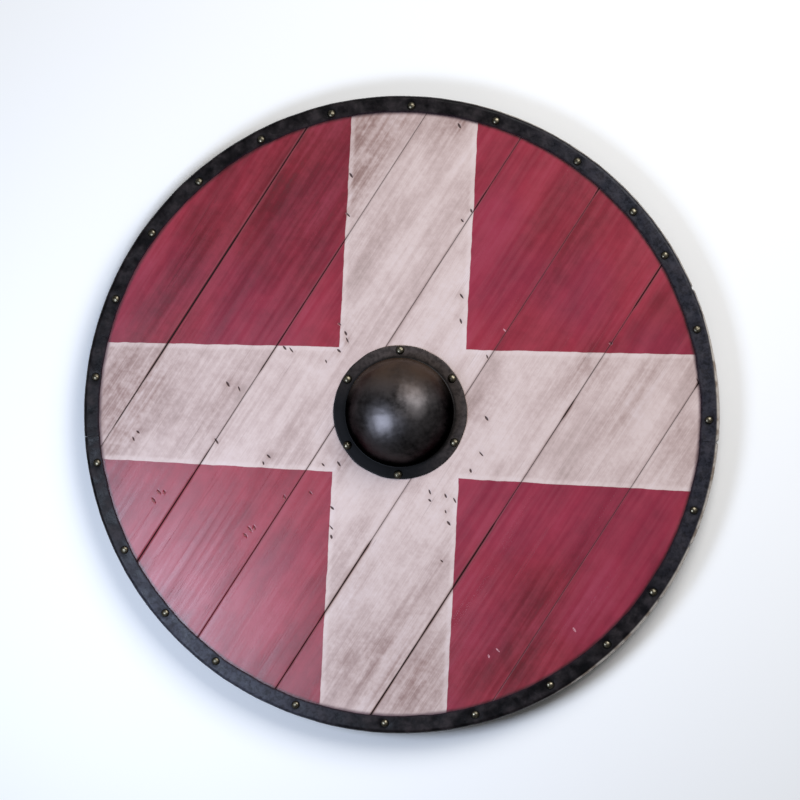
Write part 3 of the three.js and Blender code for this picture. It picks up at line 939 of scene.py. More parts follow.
@dataclass(frozen=True)
class PaintedBoards:
    """Old satin paint on softwood: a white cross on red, streaked along the grain, over a bare back."""

    grain: Grain
    red: tuple[Colour, ...] = (srgb(98, 20, 29), srgb(129, 30, 47), srgb(149, 40, 58), srgb(162, 55, 77))
    purple: Colour = srgb(134, 40, 78)
    white: tuple[Colour, ...] = (srgb(168, 146, 140), srgb(191, 168, 163), srgb(206, 185, 180),
                                 srgb(215, 197, 195))
    dirt: Colour = (0.4, 0.27, 0.24)
    # Painted shade along the leather's inner edge, laid on the paint.
    edging_shade: Colour = (0.16, 0.08, 0.11)
    cut: Colour = srgb(54, 28, 27)
    # Painted shade on the walls of a seam's gap.
    gap_shade: Colour = srgb(30, 18, 18)
    scraped: Colour = srgb(212, 158, 168)
    bare: tuple[Colour, ...] = (srgb(104, 76, 50), srgb(146, 112, 76), srgb(182, 148, 108))
    # Each arm's two edges: the weights of x and y and the offset whose sum is above 0 inside.
    upright: tuple[ArmEdge, ArmEdge] = ((1.0, -0.055, 0.0865), (-1.0, 0.054, 0.081))
    beam: tuple[ArmEdge, ArmEdge] = ((-0.022, -1.0, 0.087), (0.055, 1.0, 0.080))

    def build(self) -> Material:
        """Builds the finish.

        Returns:
            The material.
        """
        bench = NodeBench("painted_boards")
        place = bench.shift(bench.place, bench.mark("board"), (0.37, 0.0, 0.53))
        clouds = self._grained(bench, place, (9.0, 16.0), 3.0)
        bands = self._grained(bench, place, (2.5, 30.0), 3.0)
        streaks = self._grained(bench, place, (6.0, 125.0), 4.0, 0.55, 0.15)
        lines = self._grained(bench, place, (14.0, 620.0), 3.0, 0.6)
        fibres = self._grained(bench, place, (50.0, 2300.0), 2.0)
        blots = bench.noise(place, 48.0, 3.0, 0.5)
        mottle = bench.noise(place, 170.0, 3.0, 0.6)
        broad = bench.total(0.0, (clouds, 0.6), (bands, 0.5), (blots, 0.25))
        fine = bench.total(0.0, (streaks, 0.4), (lines, 0.28), (fibres, 0.15), (mottle, 0.3))

        inside = self._inside_cross(bench)
        cross = bench.remap(inside, -0.5 * MM, 0.5 * MM)
        trim = cross * bench.remap(inside, 8.0 * MM, 3.0 * MM)
        red_tone = 0.52 + broad + fine * 0.4
        white_tone = broad + fine + trim * 0.12
        red = bench.ramp(red_tone, (0.2, 0.42, 0.6, 0.85), self.red)
        white = bench.ramp(white_tone + 0.48, (0.15, 0.38, 0.55, 0.8), self.white)
        cool = bench.remap(bench.noise(bench.place, 4.5, 2.0), 0.44, 0.62, 0.0, 0.2)
        paint = bench.mix(cross, bench.mix(cool, red, self.purple), white)

        brush = bench.total(0.0, (streaks, 0.55), (lines, 0.25), (mottle, 0.3), (blots, 0.3))
        brushed = bench.remap(brush * (0.4 + cross * 0.3) + 0.5, 0.64, 0.36, 0.3, 1.0)
        edge = bench.mark("rim") * bench.remap(clouds, 0.56, 0.4, 0.1, 0.4)
        seam = bench.mark("seam") ** 1.5
        dirt = bench.most(bench.mark("grime") * brushed * 0.9 * (1.0 - trim * 0.4), edge * brushed,
                          seam * bench.remap(streaks, 0.6, 0.4, 0.5, 1.0))
        paint = bench.tint(dirt, paint, self.dirt)
        # Painted shade: a dark band on the paint along the leather's inner edge.
        paint = bench.tint(self._edging_shade_band(bench, mottle), paint, self.edging_shade)

        checks = self._checks(bench, place)
        nick = bench.remap(bench.mark("nick"), 0.06, 0.45) * (0.55 + cross * 0.4)
        scrape = bench.remap(bench.mark("scrape"), 0.15, 0.5) * bench.remap(fibres, 0.3, 0.6)
        paint = bench.coat(paint, (checks * 0.25, self.cut), (nick, self.cut), (scrape * 0.85, self.scraped))

        rings = self._grained(bench, place, (2.6, 135.0), 1.0, 0.4, 0.4)
        wood = bench.total(0.0, (rings, 0.4), (lines, 0.35), (fibres, 0.3), (bands, 0.5))
        wood = wood + bench.mark("tone") * 0.09
        timber = bench.ramp(wood + 0.5, (0.3, 0.5, 0.7), self.bare)
        timber = bench.tint(seam * 0.9, timber, self.dirt)
        # The walls of the seams' gaps are painted near-black as shade.
        colour = bench.coat(timber, (bench.mark("face"), paint), (bench.mark("gap") * 0.95, self.gap_shade))

        roughness = bench.most(bench.remap(streaks, 0.35, 0.65, 0.28, 0.36) + cross * 0.2, nick * 0.8,
                               dirt * 0.45, bench.mark("seam") * 0.9, bench.mark("gap") * 1.8)
        height = bench.total(0.5, (fibres, 0.12), (lines, 0.2), (streaks, 0.2))
        height = height + rings * (0.25 + bench.mark("raised") * 2.2) - checks * 0.2
        bench.set(Base_Color=colour, Roughness=bench.math("MINIMUM", roughness, 0.95),
                  Normal=bench.bump(height, 0.35 * MM, 0.6), Specular_IOR_Level=0.56)
        return bench.material

    def _grained(self, bench: NodeBench, place: Socket, marks: Pair, *settings: float) -> Level:
        """A pattern drawn out along the grain.

        Args:
            bench: the finish's bench.
            place: places, set apart from board to board.
            marks: how many marks it has in a metre along the grain and across it.
            settings: its detail, roughness and distortion.

        Returns:
            The pattern.
        """
        along, across = marks
        drawn_out = bench.stretch(place, (along, across, 2.0 * along), -self.grain.slant)
        return bench.noise(drawn_out, 1.0, *settings)

    def _edging_shade_band(self, bench: NodeBench, mottle: Level) -> Level:
        """Painted shade: a dark band on the paint along the leather's inner edge, darkest where it meets the
        leather.
        """
        radius = bench.away_from(LEATHER_INNER_CENTRE) + mottle * (3.0 * MM)
        return bench.remap(radius, LEATHER_INNER_RADIUS - 3.5 * MM, LEATHER_INNER_RADIUS + 1.5 * MM, 0.0, 0.9)

    def _inside_cross(self, bench: NodeBench) -> Level:
        """How far a place lies inside the white cross, with an edge drawn by hand.

        Args:
            bench: the finish's bench.

        Returns:
            The distance, below 0 on the red.
        """
        across, up, _ = bench.parts()
        arms = []
        for edges in (self.upright, self.beam):
            insides = [across * weight_x + up * weight_y + offset for weight_x, weight_y, offset in edges]
            arms.append(bench.math("MINIMUM", *insides))
        wobble = bench.noise(bench.place, 45.0, 3.0) - 0.5
        return bench.most(*arms) + wobble * (3.0 * MM)

    def _checks(self, bench: NodeBench, place: Socket) -> Level:
        """Thin drying cracks along the grain, a few on each board.

        Args:
            bench: the finish's bench.
            place: places, set apart from board to board.

        Returns:
            How far a place lies in a crack.
        """
        thin = self._grained(bench, place, (4.0, 260.0), 1.0, 0.4)
        line = bench.remap(bench.math("ABSOLUTE", thin - 0.5), 0.014, 0.0)
        patch = self._grained(bench, place, (6.0, 40.0), 1.0)
        return line * bench.remap(patch, 0.58, 0.68)


# ---- Leather edging ----


@dataclass(frozen=True)
class Strip:
    """One strip of the edging, from one joint to the other, anticlockwise in degrees."""

    name: str
    node: str
    start: float
    end: float


@dataclass
class Edging:
    """Black leather folded over the boards' edge: puffed, dented by its tacks, its inner edge cut by hand."""

    plan: ShieldPlan
    tacks: Sequence[Vector]
    strips: tuple[Strip, ...] = (Strip("leather_edging_upper", "rim_strip_upper", -5.0, 184.0),
                                 Strip("leather_edging_lower", "rim_strip_lower", 184.0, 355.0))
    thickness: float = 2.5 * MM
    fold_radius: float = 5.0 * MM
    face_radius: float = LEATHER_INNER_RADIUS
    face_shift: Pair = LEATHER_INNER_CENTRE
    back_radius: float = 398.0 * MM
    joint_gap: float = 0.5 * MM
    step: float = 2.2 * MM
    edge_round: float = 0.8 * MM
    dent_radius: float = 6.5 * MM
    dent_depth: float = 0.9 * MM
    curl_reach: float = 5.0 * MM
    curl_lift: float = 0.4 * MM
    # Unevenness in millimetres: of the inner edge as (depth, size in metres), of the face and of the side.
    edge_waves: tuple[Pair, Pair] = ((0.9, 0.09), (0.35, 0.02))
    puffing: float = 0.28
    pressing: float = 0.35
    # Stretches of the rim: a direction, and how far from it the mark begins and is full, in degrees. The
    # first two place the pale outer band, which is wear and, on the right side, a painted reflection, and
    # where that band is widest; the last two place the painted glare.
    rubbed: Stretch = (8.0, 80.0, 60.0)
    rubbed_broadly: Stretch = (-22.0, 42.0, 28.0)
    glare_left: Stretch = (232.0, 34.0, 8.0)
    glare_right: Stretch = (15.0, 62.0, 25.0)
    rub_widths: Pair = (1.2, 3.4)
    notch_degrees: tuple[float, ...] = (23.4, -5.0, -24.3, -35.6)
    notch_width: float = 3.2 * MM
    notch_depth: float = 2.4 * MM

    def build(self, material: Material) -> list[Piece]:
        """Builds the strips.

        Args:
            material: the leather.

        Returns:
            One piece for each strip.
        """
        return [add_piece(strip.name, self._strip(strip), material, [strip.node], 50.0)
                for strip in self.strips]

    def _section(self) -> list[Pair]:
        """The folded section, from the back's inner edge round and back to it.

        Returns:
            Its points as (radius, height).
        """
        radius = self.plan.radius
        back = self.plan.edging_back
        face = self.plan.edging_face
        fold = self.fold_radius
        thick = self.thickness
        inner_fold = fold - thick
        edge_round = self.edge_round
        return [
            *walk((self.back_radius, back + edge_round), (self.back_radius + edge_round, back), 1),
            *walk((self.back_radius + edge_round, back), (radius - fold, back), 6),
            *arc((radius - fold, back + fold), fold, -90.0, 0.0, 6)[:-1],
            *walk((radius, back + fold), (radius, face - fold), 5),
            *arc((radius - fold, face - fold), fold, 0.0, 90.0, 7),
            *walk((radius - fold - 1.0 * MM, face), (self.face_radius + edge_round, face), 13),
            (self.face_radius + edge_round, face),
            (self.face_radius + 0.25 * edge_round, face - 0.25 * edge_round),
            (self.face_radius, face - edge_round),
            *walk((self.face_radius, face - thick), (radius - fold, face - thick), 5),
            *arc((radius - fold, face - fold), inner_fold, 90.0, 0.0, 3),
            *arc((radius - fold, back + fold), inner_fold, 0.0, -90.0, 3),
            *walk((radius - fold, back + thick), (self.back_radius, back + thick), 4)[1:],
            (self.back_radius, back + thick),
        ]

    def _strip(self, strip: Strip) -> Shape:
        """One strip, swept round its stretch of the rim and shaped.

        Args:
            strip: where it runs.

        Returns:
            Its shape.
        """
        clearance = math.degrees(self.joint_gap / 2 / self.plan.radius)
        start = math.radians(strip.start + clearance)
        sweep = math.radians(strip.end - strip.start - 2 * clearance)
        bm = bmesh.new()
        turn = Matrix.Rotation(start, 3, "Z")
        chain = [bm.verts.new(turn @ Vector((radius, 0.0, height))) for radius, height in self._section()]
        edges = [bm.edges.new(pair) for pair in zip(chain, chain[1:] + chain[:1])]
        steps = round(sweep * self.plan.radius / self.step)
        bmesh.ops.spin(bm, geom=chain + edges, cent=(0.0, 0.0, 0.0), axis=(0.0, 0.0, 1.0),
                       dvec=(0.0, 0.0, 0.0), angle=sweep, steps=steps)
        bmesh.ops.remove_doubles(bm, verts=bm.verts[:], dist=0.005 * MM)
        rims = [edge for edge in bm.edges if edge.is_boundary]
        bmesh.ops.holes_fill(bm, edges=rims, sides=0)
        face_outwards(bm)
        self._shape(bm, strip)
        return bm

    def _shape(self, bm: Shape, strip: Strip) -> None:
        """Works the leather over by hand, and paints its marks for the finish.

        Args:
            bm: the strip's shape.
            strip: where it runs.
        """
        marks = Marks(bm, "rub", "scuff", "edge", "bloom", "dent")
        nails = [tack.to_2d() for tack in self.tacks]
        radius = self.plan.radius
        face = self.plan.edging_face
        for vert in bm.verts:
            flat = vert.co.to_2d()
            far = flat.length
            angle = math.atan2(flat.y, flat.x) % math.tau
            outward = Vector((flat.x / far, flat.y / far, 0.0))
            near_nail = min((flat - nail).length for nail in nails)
            on_face = ease(vert.co.z, face - 3.5 * MM, face - 0.2 * MM)
            on_side = ease(far, radius - 3.0 * MM, radius - 0.5 * MM)
            skin = Vector((math.cos(angle) * 0.42, math.sin(angle) * 0.42, far * 1.5 + vert.co.z * 2.0))

            # The inner edge on the face is cut a little off centre and unevenly.
            share = ease(far, self.face_radius + 14.0 * MM, self.face_radius)
            uneven = self.face_shift[0] * outward.x + self.face_shift[1] * outward.y
            uneven += lumps(outward, self.edge_waves) * MM
            shift = uneven * share if vert.co.z > face - 1.5 * self.thickness else 0.0

            # The dent round each tack, which the finish also darkens as painted shade.
            hollow = math.exp(-(near_nail / self.dent_radius) ** 2)
            sunk = self.dent_depth * hollow * on_face
            sunk += (self.puffing + self.puffing * lump(skin, 0.035, 3)) * MM * on_face
            pressed = (self.pressing + self.pressing * lump(skin, 0.03, 3)) * MM * on_side
            notch = self._notch(angle, vert.co.z)
            pressed += notch * self.notch_depth * on_side
            curl = 0.0
            for end in (strip.start, strip.end):
                from_end = math.radians(self._turn_from(angle, end)) * radius
                curl += math.exp(-(from_end / self.curl_reach) ** 2)
            sunk = max(0.0, sunk - self.curl_lift * curl * on_face)

            vert.co += outward * (shift - pressed) - Vector((0.0, 0.0, sunk * on_face))
            # The outer edge is paler: wear all round, and on the right side a painted reflection of the light
            # as well.
            reach = blend(*self.rub_widths, self._within(angle, self.rubbed_broadly)) * MM
            outer = ease(far, radius - reach, radius - reach + 1.4 * MM) * (1.0 - notch)
            pale = self._within(angle, self.rubbed)
            # Painted glare on the rim's face, strongest at the lower left and fainter at the right.
            bloom = max(self._within(angle, self.glare_left), 0.45 * self._within(angle, self.glare_right))
            # Marks for the finish: the inner edge and the dents take painted shade.
            marks.write(vert, rub=outer * pale, scuff=outer * (1.0 - pale), bloom=bloom,
                        edge=ease(far, self.face_radius + 3.0 * MM, self.face_radius + 0.5 * MM),
                        dent=max(hollow * on_face, notch * on_side))

    @staticmethod
    def _turn_from(angle: float, degrees: float) -> float:
        """How many degrees lie between an angle in radians and a direction in degrees."""
        return math.degrees(abs((angle - math.radians(degrees) + math.pi) % math.tau - math.pi))

    def _within(self, angle: float, stretch: Stretch) -> float:
        """How far a direction lies within a stretch of the rim, from 0 to 1."""
        return ease(self._turn_from(angle, stretch[0]), *stretch[1:])

    def _notch(self, angle: float, height: float) -> float:
        """How deep a crease goes into the side.

        Args:
            angle: the place's direction, in radians.
            height: its height.

        Returns:
            The depth, from 0 to 1.
        """
        deepest = 0.0
        middle = (self.plan.edging_back + self.plan.edging_face) / 2
        for degrees in self.notch_degrees:
            away = math.radians(self._turn_from(angle, degrees)) * self.plan.radius
            deepest = max(deepest, ease(away, self.notch_width, 0.2 * self.notch_width))
        return deepest * ease(abs(height - middle), 11.0 * MM, 7.0 * MM)


@dataclass(frozen=True)
class BlackLeather:
    """Black harness leather: fine pebbling, soft creases, paler on the outer edge where it wears and, on the
    right side, with a painted reflection there; painted glare on the face, and painted shade along the inner
    edge and in the dents.
    """

    deep: Colour = srgb(7, 6, 8)
    middle: Colour = srgb(24, 20, 22)
    dusty: Colour = srgb(42, 36, 38)
    # Painted glare on the rim's face.
    bloom: Colour = srgb(66, 68, 80)
    # Painted shade along the leather's inner edge.
    inner_edge_shade: Colour = srgb(26, 10, 20)
    scuffed: Colour = srgb(96, 86, 80)
    # The pale outer edge: wear, and a painted reflection on the right side.
    rubbed: tuple[Colour, Colour] = (srgb(136, 122, 110), srgb(186, 178, 170))

    def build(self) -> Material:
        """Builds the finish.

        Returns:
            The material.
        """
        bench = NodeBench("black_leather")
        patches = bench.noise(bench.place, 55.0, 2.0, 0.5)
        creases = bench.noise(bench.place, 190.0, 5.0, 0.65, 0.4)
        pebbles = bench.cells(bench.place, 950.0)
        pores = bench.noise(bench.place, 1500.0, 2.0)
        tone = patches * 0.6 + creases * 0.4
        scuffs = bench.remap(bench.noise(bench.place, 34.0, 4.0, 0.6), 0.5, 0.68, 0.0, 0.55)
        burnish_and_reflection = bench.mix(bench.remap(patches, 0.36, 0.56), *self.rubbed)
        colour = bench.coat(
            bench.ramp(tone, (0.38, 0.52, 0.64), (self.deep, self.middle, self.dusty)),
            # Painted glare.
            (bench.mark("bloom") * bench.remap(creases, 0.35, 0.6, 0.3, 0.8), self.bloom),
            (bench.mark("scuff") * scuffs, self.scuffed),
            (bench.mark("rub") * bench.remap(creases, 0.3, 0.5, 0.75, 1.0), burnish_and_reflection),
            # Painted shade along the inner edge.
            (bench.mark("edge") * 0.9, self.inner_edge_shade),
            # Painted shade in the tack dents and the side creases.
            (bench.mark("dent") * 0.7, self.deep))
        height = creases + pebbles * 0.25 + pores * 0.1
        roughness = bench.remap(patches, 0.38, 0.62, 0.3, 0.48) + bench.mark("rub") * 0.1
        puckers = bench.bump(patches, 2.0 * MM, 0.3)
        bench.set(Base_Color=colour, Roughness=roughness, Normal=bench.bump(height, 0.5 * MM, 0.4, puckers),
                  Specular_IOR_Level=0.13)
        return bench.material


# ---- Boss ----


@dataclass
class Boss:
    """A beaten iron bowl with a flange, hollow, with the marks of the hammer."""

    plan: ShieldPlan
    wall: float = 2.0 * MM
    dome_radius: float = 71.8 * MM
    neck_height: float = 9.0 * MM
    neck_lean: float = 1.6 * MM
    root: float = 2.5 * MM
    lip: float = 0.8 * MM
    # The hammer's marks as (depth in millimetres, size), and how far they lie below the true dome.
    dents: tuple[Pair, Pair] = ((0.22, 0.013), (0.35, 0.035))
    dent_depth: float = 0.4
    flange_waver: float = 0.7
    flange_wave: float = 0.25 * MM
    sides: int = 176

    def build(self, material: Material) -> Piece:
        """Builds the boss.

        Args:
            material: the iron.

        Returns:
            Its piece.
        """
        bm = spun(self._profile(), self.plan.boss_centre, self.sides)
        self._hammer(bm)
        return add_piece("iron_boss", bm, material, ["boss"], 40.0)

    def _profile(self) -> list[Pair]:
        """The section from the crown outside, round the flange, to the crown inside.

        Returns:
            Its points as (radius, height).
        """
        base = self.plan.boss_low.z
        top = self.plan.boss_high.z
        flange_radius = (self.plan.boss_high.x - self.plan.boss_low.x) / 2
        face = base + self.wall
        foot = face + self.neck_height
        rise = top - foot
        neck = self.dome_radius - self.neck_lean
        root = self.root
        lip = self.lip
        outside = arc((0.0, foot), self.dome_radius, 90.0, 0.0, 44, rise / self.dome_radius)
        outside[0] = (0.0, top)
        inner_radius = self.dome_radius - self.wall
        inner_rise = rise - self.wall
        inside = arc((0.0, foot), inner_radius, 0.0, 90.0, 30, inner_rise / inner_radius)
        inside[-1] = (0.0, top - self.wall)
        return [
            *outside,
            *walk((neck + 0.4 * self.neck_lean, foot - 0.35 * self.neck_height), (neck, face + root), 2),
            *arc((neck + root, face + root), root, 180.0, 270.0, 5),
            *walk((neck + root + 1.0 * MM, face), (flange_radius - lip, face), 8),
            *arc((flange_radius - lip, face - lip), lip, 90.0, 0.0, 3),
            (flange_radius, base + 0.3 * MM),
            (flange_radius - 0.3 * MM, base),
            *walk((flange_radius - 1.0 * MM, base), (neck - self.wall + root, base), 6),
            (neck - self.wall + 0.3 * root, base + 0.3 * root),
            (neck - self.wall, base + root),
            *inside,
        ]

    def _hammer(self, bm: Shape) -> None:
        """Leaves shallow hammer marks on the dome, and an uneven flange.

        Args:
            bm: the boss's shape.
        """
        marks = Marks(bm, "foot")
        centre = self.plan.boss_centre
        face = self.plan.boss_low.z + self.wall
        dome_foot = face + self.neck_height
        for vert in bm.verts:
            away = (vert.co - centre).to_2d().length
            divisor = max(away, MM)
            outward = Vector(((vert.co.x - centre.x) / divisor, (vert.co.y - centre.y) / divisor, 0.0))
            dent = lumps(vert.co, self.dents) - self.dent_depth
            on_dome = ease(vert.co.z, dome_foot, dome_foot + 12.0 * MM)
            vert.co += dent * MM * on_dome * Vector((outward.x * 0.6, outward.y * 0.6, 0.8))
            on_flange = ease(away, 74.0 * MM, 88.0 * MM) * (1.0 - on_dome)
            vert.co += outward * self.flange_waver * (lump(outward, 0.3) - 1.0) * MM * on_flange
            if vert.co.z > face - 0.9 * self.wall:
                vert.co.z += self.flange_wave * (lump(outward, 0.5) - 1.0) * on_flange
            # This ring marks the groove at the dome's foot, where the finish paints shade.
            crease = ease(abs(away - self.dome_radius), 5.0 * MM, 0.5 * MM)
            marks.write(vert, foot=crease * ease(vert.co.z, dome_foot + 3.0 * MM, face + 2.0 * MM))


@dataclass(frozen=True)
class BlackIron:
    """Fire-blackened iron, satin from handling, browned here and there on the dome's upper side as rust and
    as a painted warm reflection, with a painted sheen on the flange towards the upper right and painted shade
    in the groove at the dome's foot.
    """

    black: Colour = srgb(11, 10, 11)
    worn: Colour = srgb(88, 84, 85)
    # Dust on the flange, and a painted sheen from the light at the upper right.
    dust_and_sheen: Colour = srgb(76, 68, 66)
    # Rust, and a painted warm reflection on the dome's upper side.
    brown: Colour = srgb(64, 46, 30)
    # Painted shade in the groove at the dome's foot.
    crease: Colour = srgb(8, 7, 7)

    def build(self) -> Material:
        """Builds the finish.

        Returns:
            The material.
        """
        bench = NodeBench("black_iron")
        clouds = bench.noise(bench.place, 22.0, 3.0, 0.5)
        scale = bench.noise(bench.place, 160.0, 5.0, 0.65)
        pits = bench.noise(bench.place, 700.0, 3.0)
        across, up, height = bench.parts()
        crown = bench.remap(height, 60 * MM, 90 * MM, 0.03, 1.0)
        handled = bench.remap(bench.total(0.5, (clouds, 0.6), (scale, 0.2)), 0.32, 0.6) * crown
        # Brown on the dome's upper side: rust, and a painted warm reflection.
        rust_and_reflection = bench.remap(clouds, 0.35, 0.6, 0.5, 1.0) * bench.remap(up, 12 * MM, 60 * MM, 0.0, 0.8)
        # The flange is lighter towards the upper right: dust, and a painted sheen from the light on that
        # side.
        lit_side = bench.remap(across * 0.7 + up * 0.7, -60 * MM, 80 * MM)
        flange = bench.remap(height, 44 * MM, 41 * MM) * 0.9
        dusty = lit_side * bench.remap(scale, 0.35, 0.62, 0.45, 1.0)
        colour = bench.coat(self.black, (handled, self.worn), (rust_and_reflection, self.brown),
                            (flange, bench.mix(dusty, self.black, self.dust_and_sheen)),
                            (bench.mark("foot") * 0.85, self.crease))
        roughness = bench.total(0.385, (clouds, 0.2), (scale, 0.16))
        relief = bench.total(0.5, (scale, 1.0), (pits, 0.3))
        bench.set(Base_Color=colour, Roughness=roughness, Normal=bench.bump(relief, 0.06 * MM, 0.5),
                  Metallic=1.0 - bench.most(rust_and_reflection, flange), Specular_Tint=(0.25, 0.25, 0.26))
        return bench.material


# ---- Nails ----


@dataclass(frozen=True)
class NailShape:
    """A domed head on a shank that tapers to a point, ends square or is peened over."""

    head_radius: float
    head_height: float
    shank_radius: float
    point_length: float
    tail_radius: float = 0.0
    tail_height: float = 0.0
    head_edge: float = 0.35 * MM

    def profile(self, low: float, head: float, tail_top: float | None) -> list[Pair]:
        """The section from the shank's end to the crown.

        Args:
            low: the height of the shank's end.
            head: the height of the head's underside.
            tail_top: the height of the peened tail's upper face, if it has one.

        Returns:
            The points as (radius, height).
        """
        edge = self.head_edge
        if tail_top is None:
            shank = [(0.0, low), (self.shank_radius, low + self.point_length)]
        else:
            tail = arc((0.0, tail_top), self.tail_radius, -90.0, 0.0, 5, self.tail_height / self.tail_radius)
            tail[0] = (0.0, low)
            shank = [*tail, (self.shank_radius, tail_top)]
        crown = arc((0.0, head + edge), self.head_radius, 0.0, 90.0, 10,
                    (self.head_height - edge) / self.head_radius)
        crown[-1] = (0.0, head + self.head_height)
        return [*shank, (self.shank_radius, head), (self.head_radius - edge, head), *crown]


@dataclass
class Nails:
    """The brass tacks of the edging and the brass rivets of the boss, each set by hand."""

    plan: ShieldPlan
    tack: NailShape = NailShape(5.2 * MM, 3.6 * MM, 1.2 * MM, 4.0 * MM)
    rivet: NailShape = NailShape(5.8 * MM, 4.2 * MM, 2.0 * MM, 0.0, 4.0 * MM, 1.6 * MM)
    tack_count: int = 24
    rivet_count: int = 6
    most_lean: float = 5.0
    longest_peened: float = 5.0 * MM
    dint_depth: float = 0.12 * MM
    dint_size: float = 0.004
    sides: int = 28

    def tack_places(self) -> list[Vector]:
        """Where the tacks stand on the edging's face.

        Returns:
            One place for each tack.
        """
        heads = self.plan.edging_face
        return [axis_of(f"rim_tack_{number:02d}", heads) for number in range(1, self.tack_count + 1)]

    def build(self, material: Material) -> list[Piece]:
        """Builds every tack and rivet.

        Args:
            material: the brass.

        Returns:
            One piece for each nail.
        """
        tacks = [(f"brass_tack_{number:02d}", f"rim_tack_{number:02d}", self.tack)
                 for number in range(1, self.tack_count + 1)]
        rivets = [(f"brass_rivet_{number}", f"boss_rivet_{number}", self.rivet)
                  for number in range(1, self.rivet_count + 1)]
        return [self._nail(name, node, shape, material) for name, node, shape in tacks + rivets]

    def _nail(self, name: str, node: str, shape: NailShape, material: Material) -> Piece:
        """One nail, its head tipped and dinted a little.

        Args:
            name: the piece's name.
            node: the CAD node that it replaces.
            shape: its sizes.
            material: the brass.

        Returns:
            Its piece.
        """
        low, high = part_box(node)
        head = high.z - shape.head_height
        peened = shape.tail_radius > 0.0 and low.z > self.plan.boards_back - self.longest_peened
        tail_top = low.z + shape.tail_height if peened else None
        foot = axis_of(node, head)
        bm = spun(shape.profile(low.z, head, tail_top), foot, self.sides)
        dice = random.Random(name)
        lean = math.radians(dice.uniform(0.0, self.most_lean))
        hinge = Vector((dice.uniform(-1.0, 1.0), dice.uniform(-1.0, 1.0), 0.0)).normalized()
        marks = Marks(bm, "skirt")
        for vert in bm.verts:
            above = vert.co.z - head
            away = (vert.co - foot).to_2d().length / shape.head_radius
            # The skirt mark paints shade on the head's outer part and under it, and a little on a peened
            # tail.
            under = 0.35 if tail_top and vert.co.z < tail_top - 0.1 * MM else 1.0
            marks.write(vert, skirt=ease(away, 0.55, 1.0) if above > -0.1 * MM else under)
            if above > 0.5 * MM:
                vert.co += Vector((0.0, 0.0, self.dint_depth * (lump(vert.co, self.dint_size) - 1.0)))
        crown = [vert for vert in bm.verts if vert.co.z > head + 0.2 * MM]
        bmesh.ops.rotate(bm, verts=crown, cent=foot, matrix=Matrix.Rotation(lean, 4, hinge))
        for vert in bm.verts:
            vert.co.z = min(vert.co.z, high.z)
        return add_piece(name, bm, material, [node], 40.0)


@dataclass(frozen=True)
class OldBrass:
    """Dark antique brass, painted dark brown as shade on the outer part of the head and under it, and bright
    on the crown.
    """

    bright: Colour = srgb(126, 119, 101)
    dull: Colour = srgb(74, 68, 54)
    # Painted shade on the head's outer part and under it.
    crease: Colour = srgb(18, 14, 10)

    def build(self) -> Material:
        """Builds the finish.

        Returns:
            The material.
        """
        bench = NodeBench("old_brass")
        spots = bench.noise(bench.place, 420.0, 4.0, 0.6)
        fine = bench.noise(bench.place, 1800.0, 2.0)
        skirt = bench.mark("skirt")
        dulled = bench.remap(spots, 0.35, 0.62)
        colour = bench.coat(self.bright, (dulled, self.dull), (skirt * 0.9, self.crease))
        roughness = bench.remap(spots, 0.3, 0.7, 0.3, 0.44) + skirt * 0.2
        bench.set(Base_Color=colour, Roughness=roughness, Normal=bench.bump(fine, 0.05 * MM, 0.4),
                  Metallic=1.0, Coat_Weight=0.3, Coat_Roughness=0.25)
        return bench.material


# ---- Grip batten ----


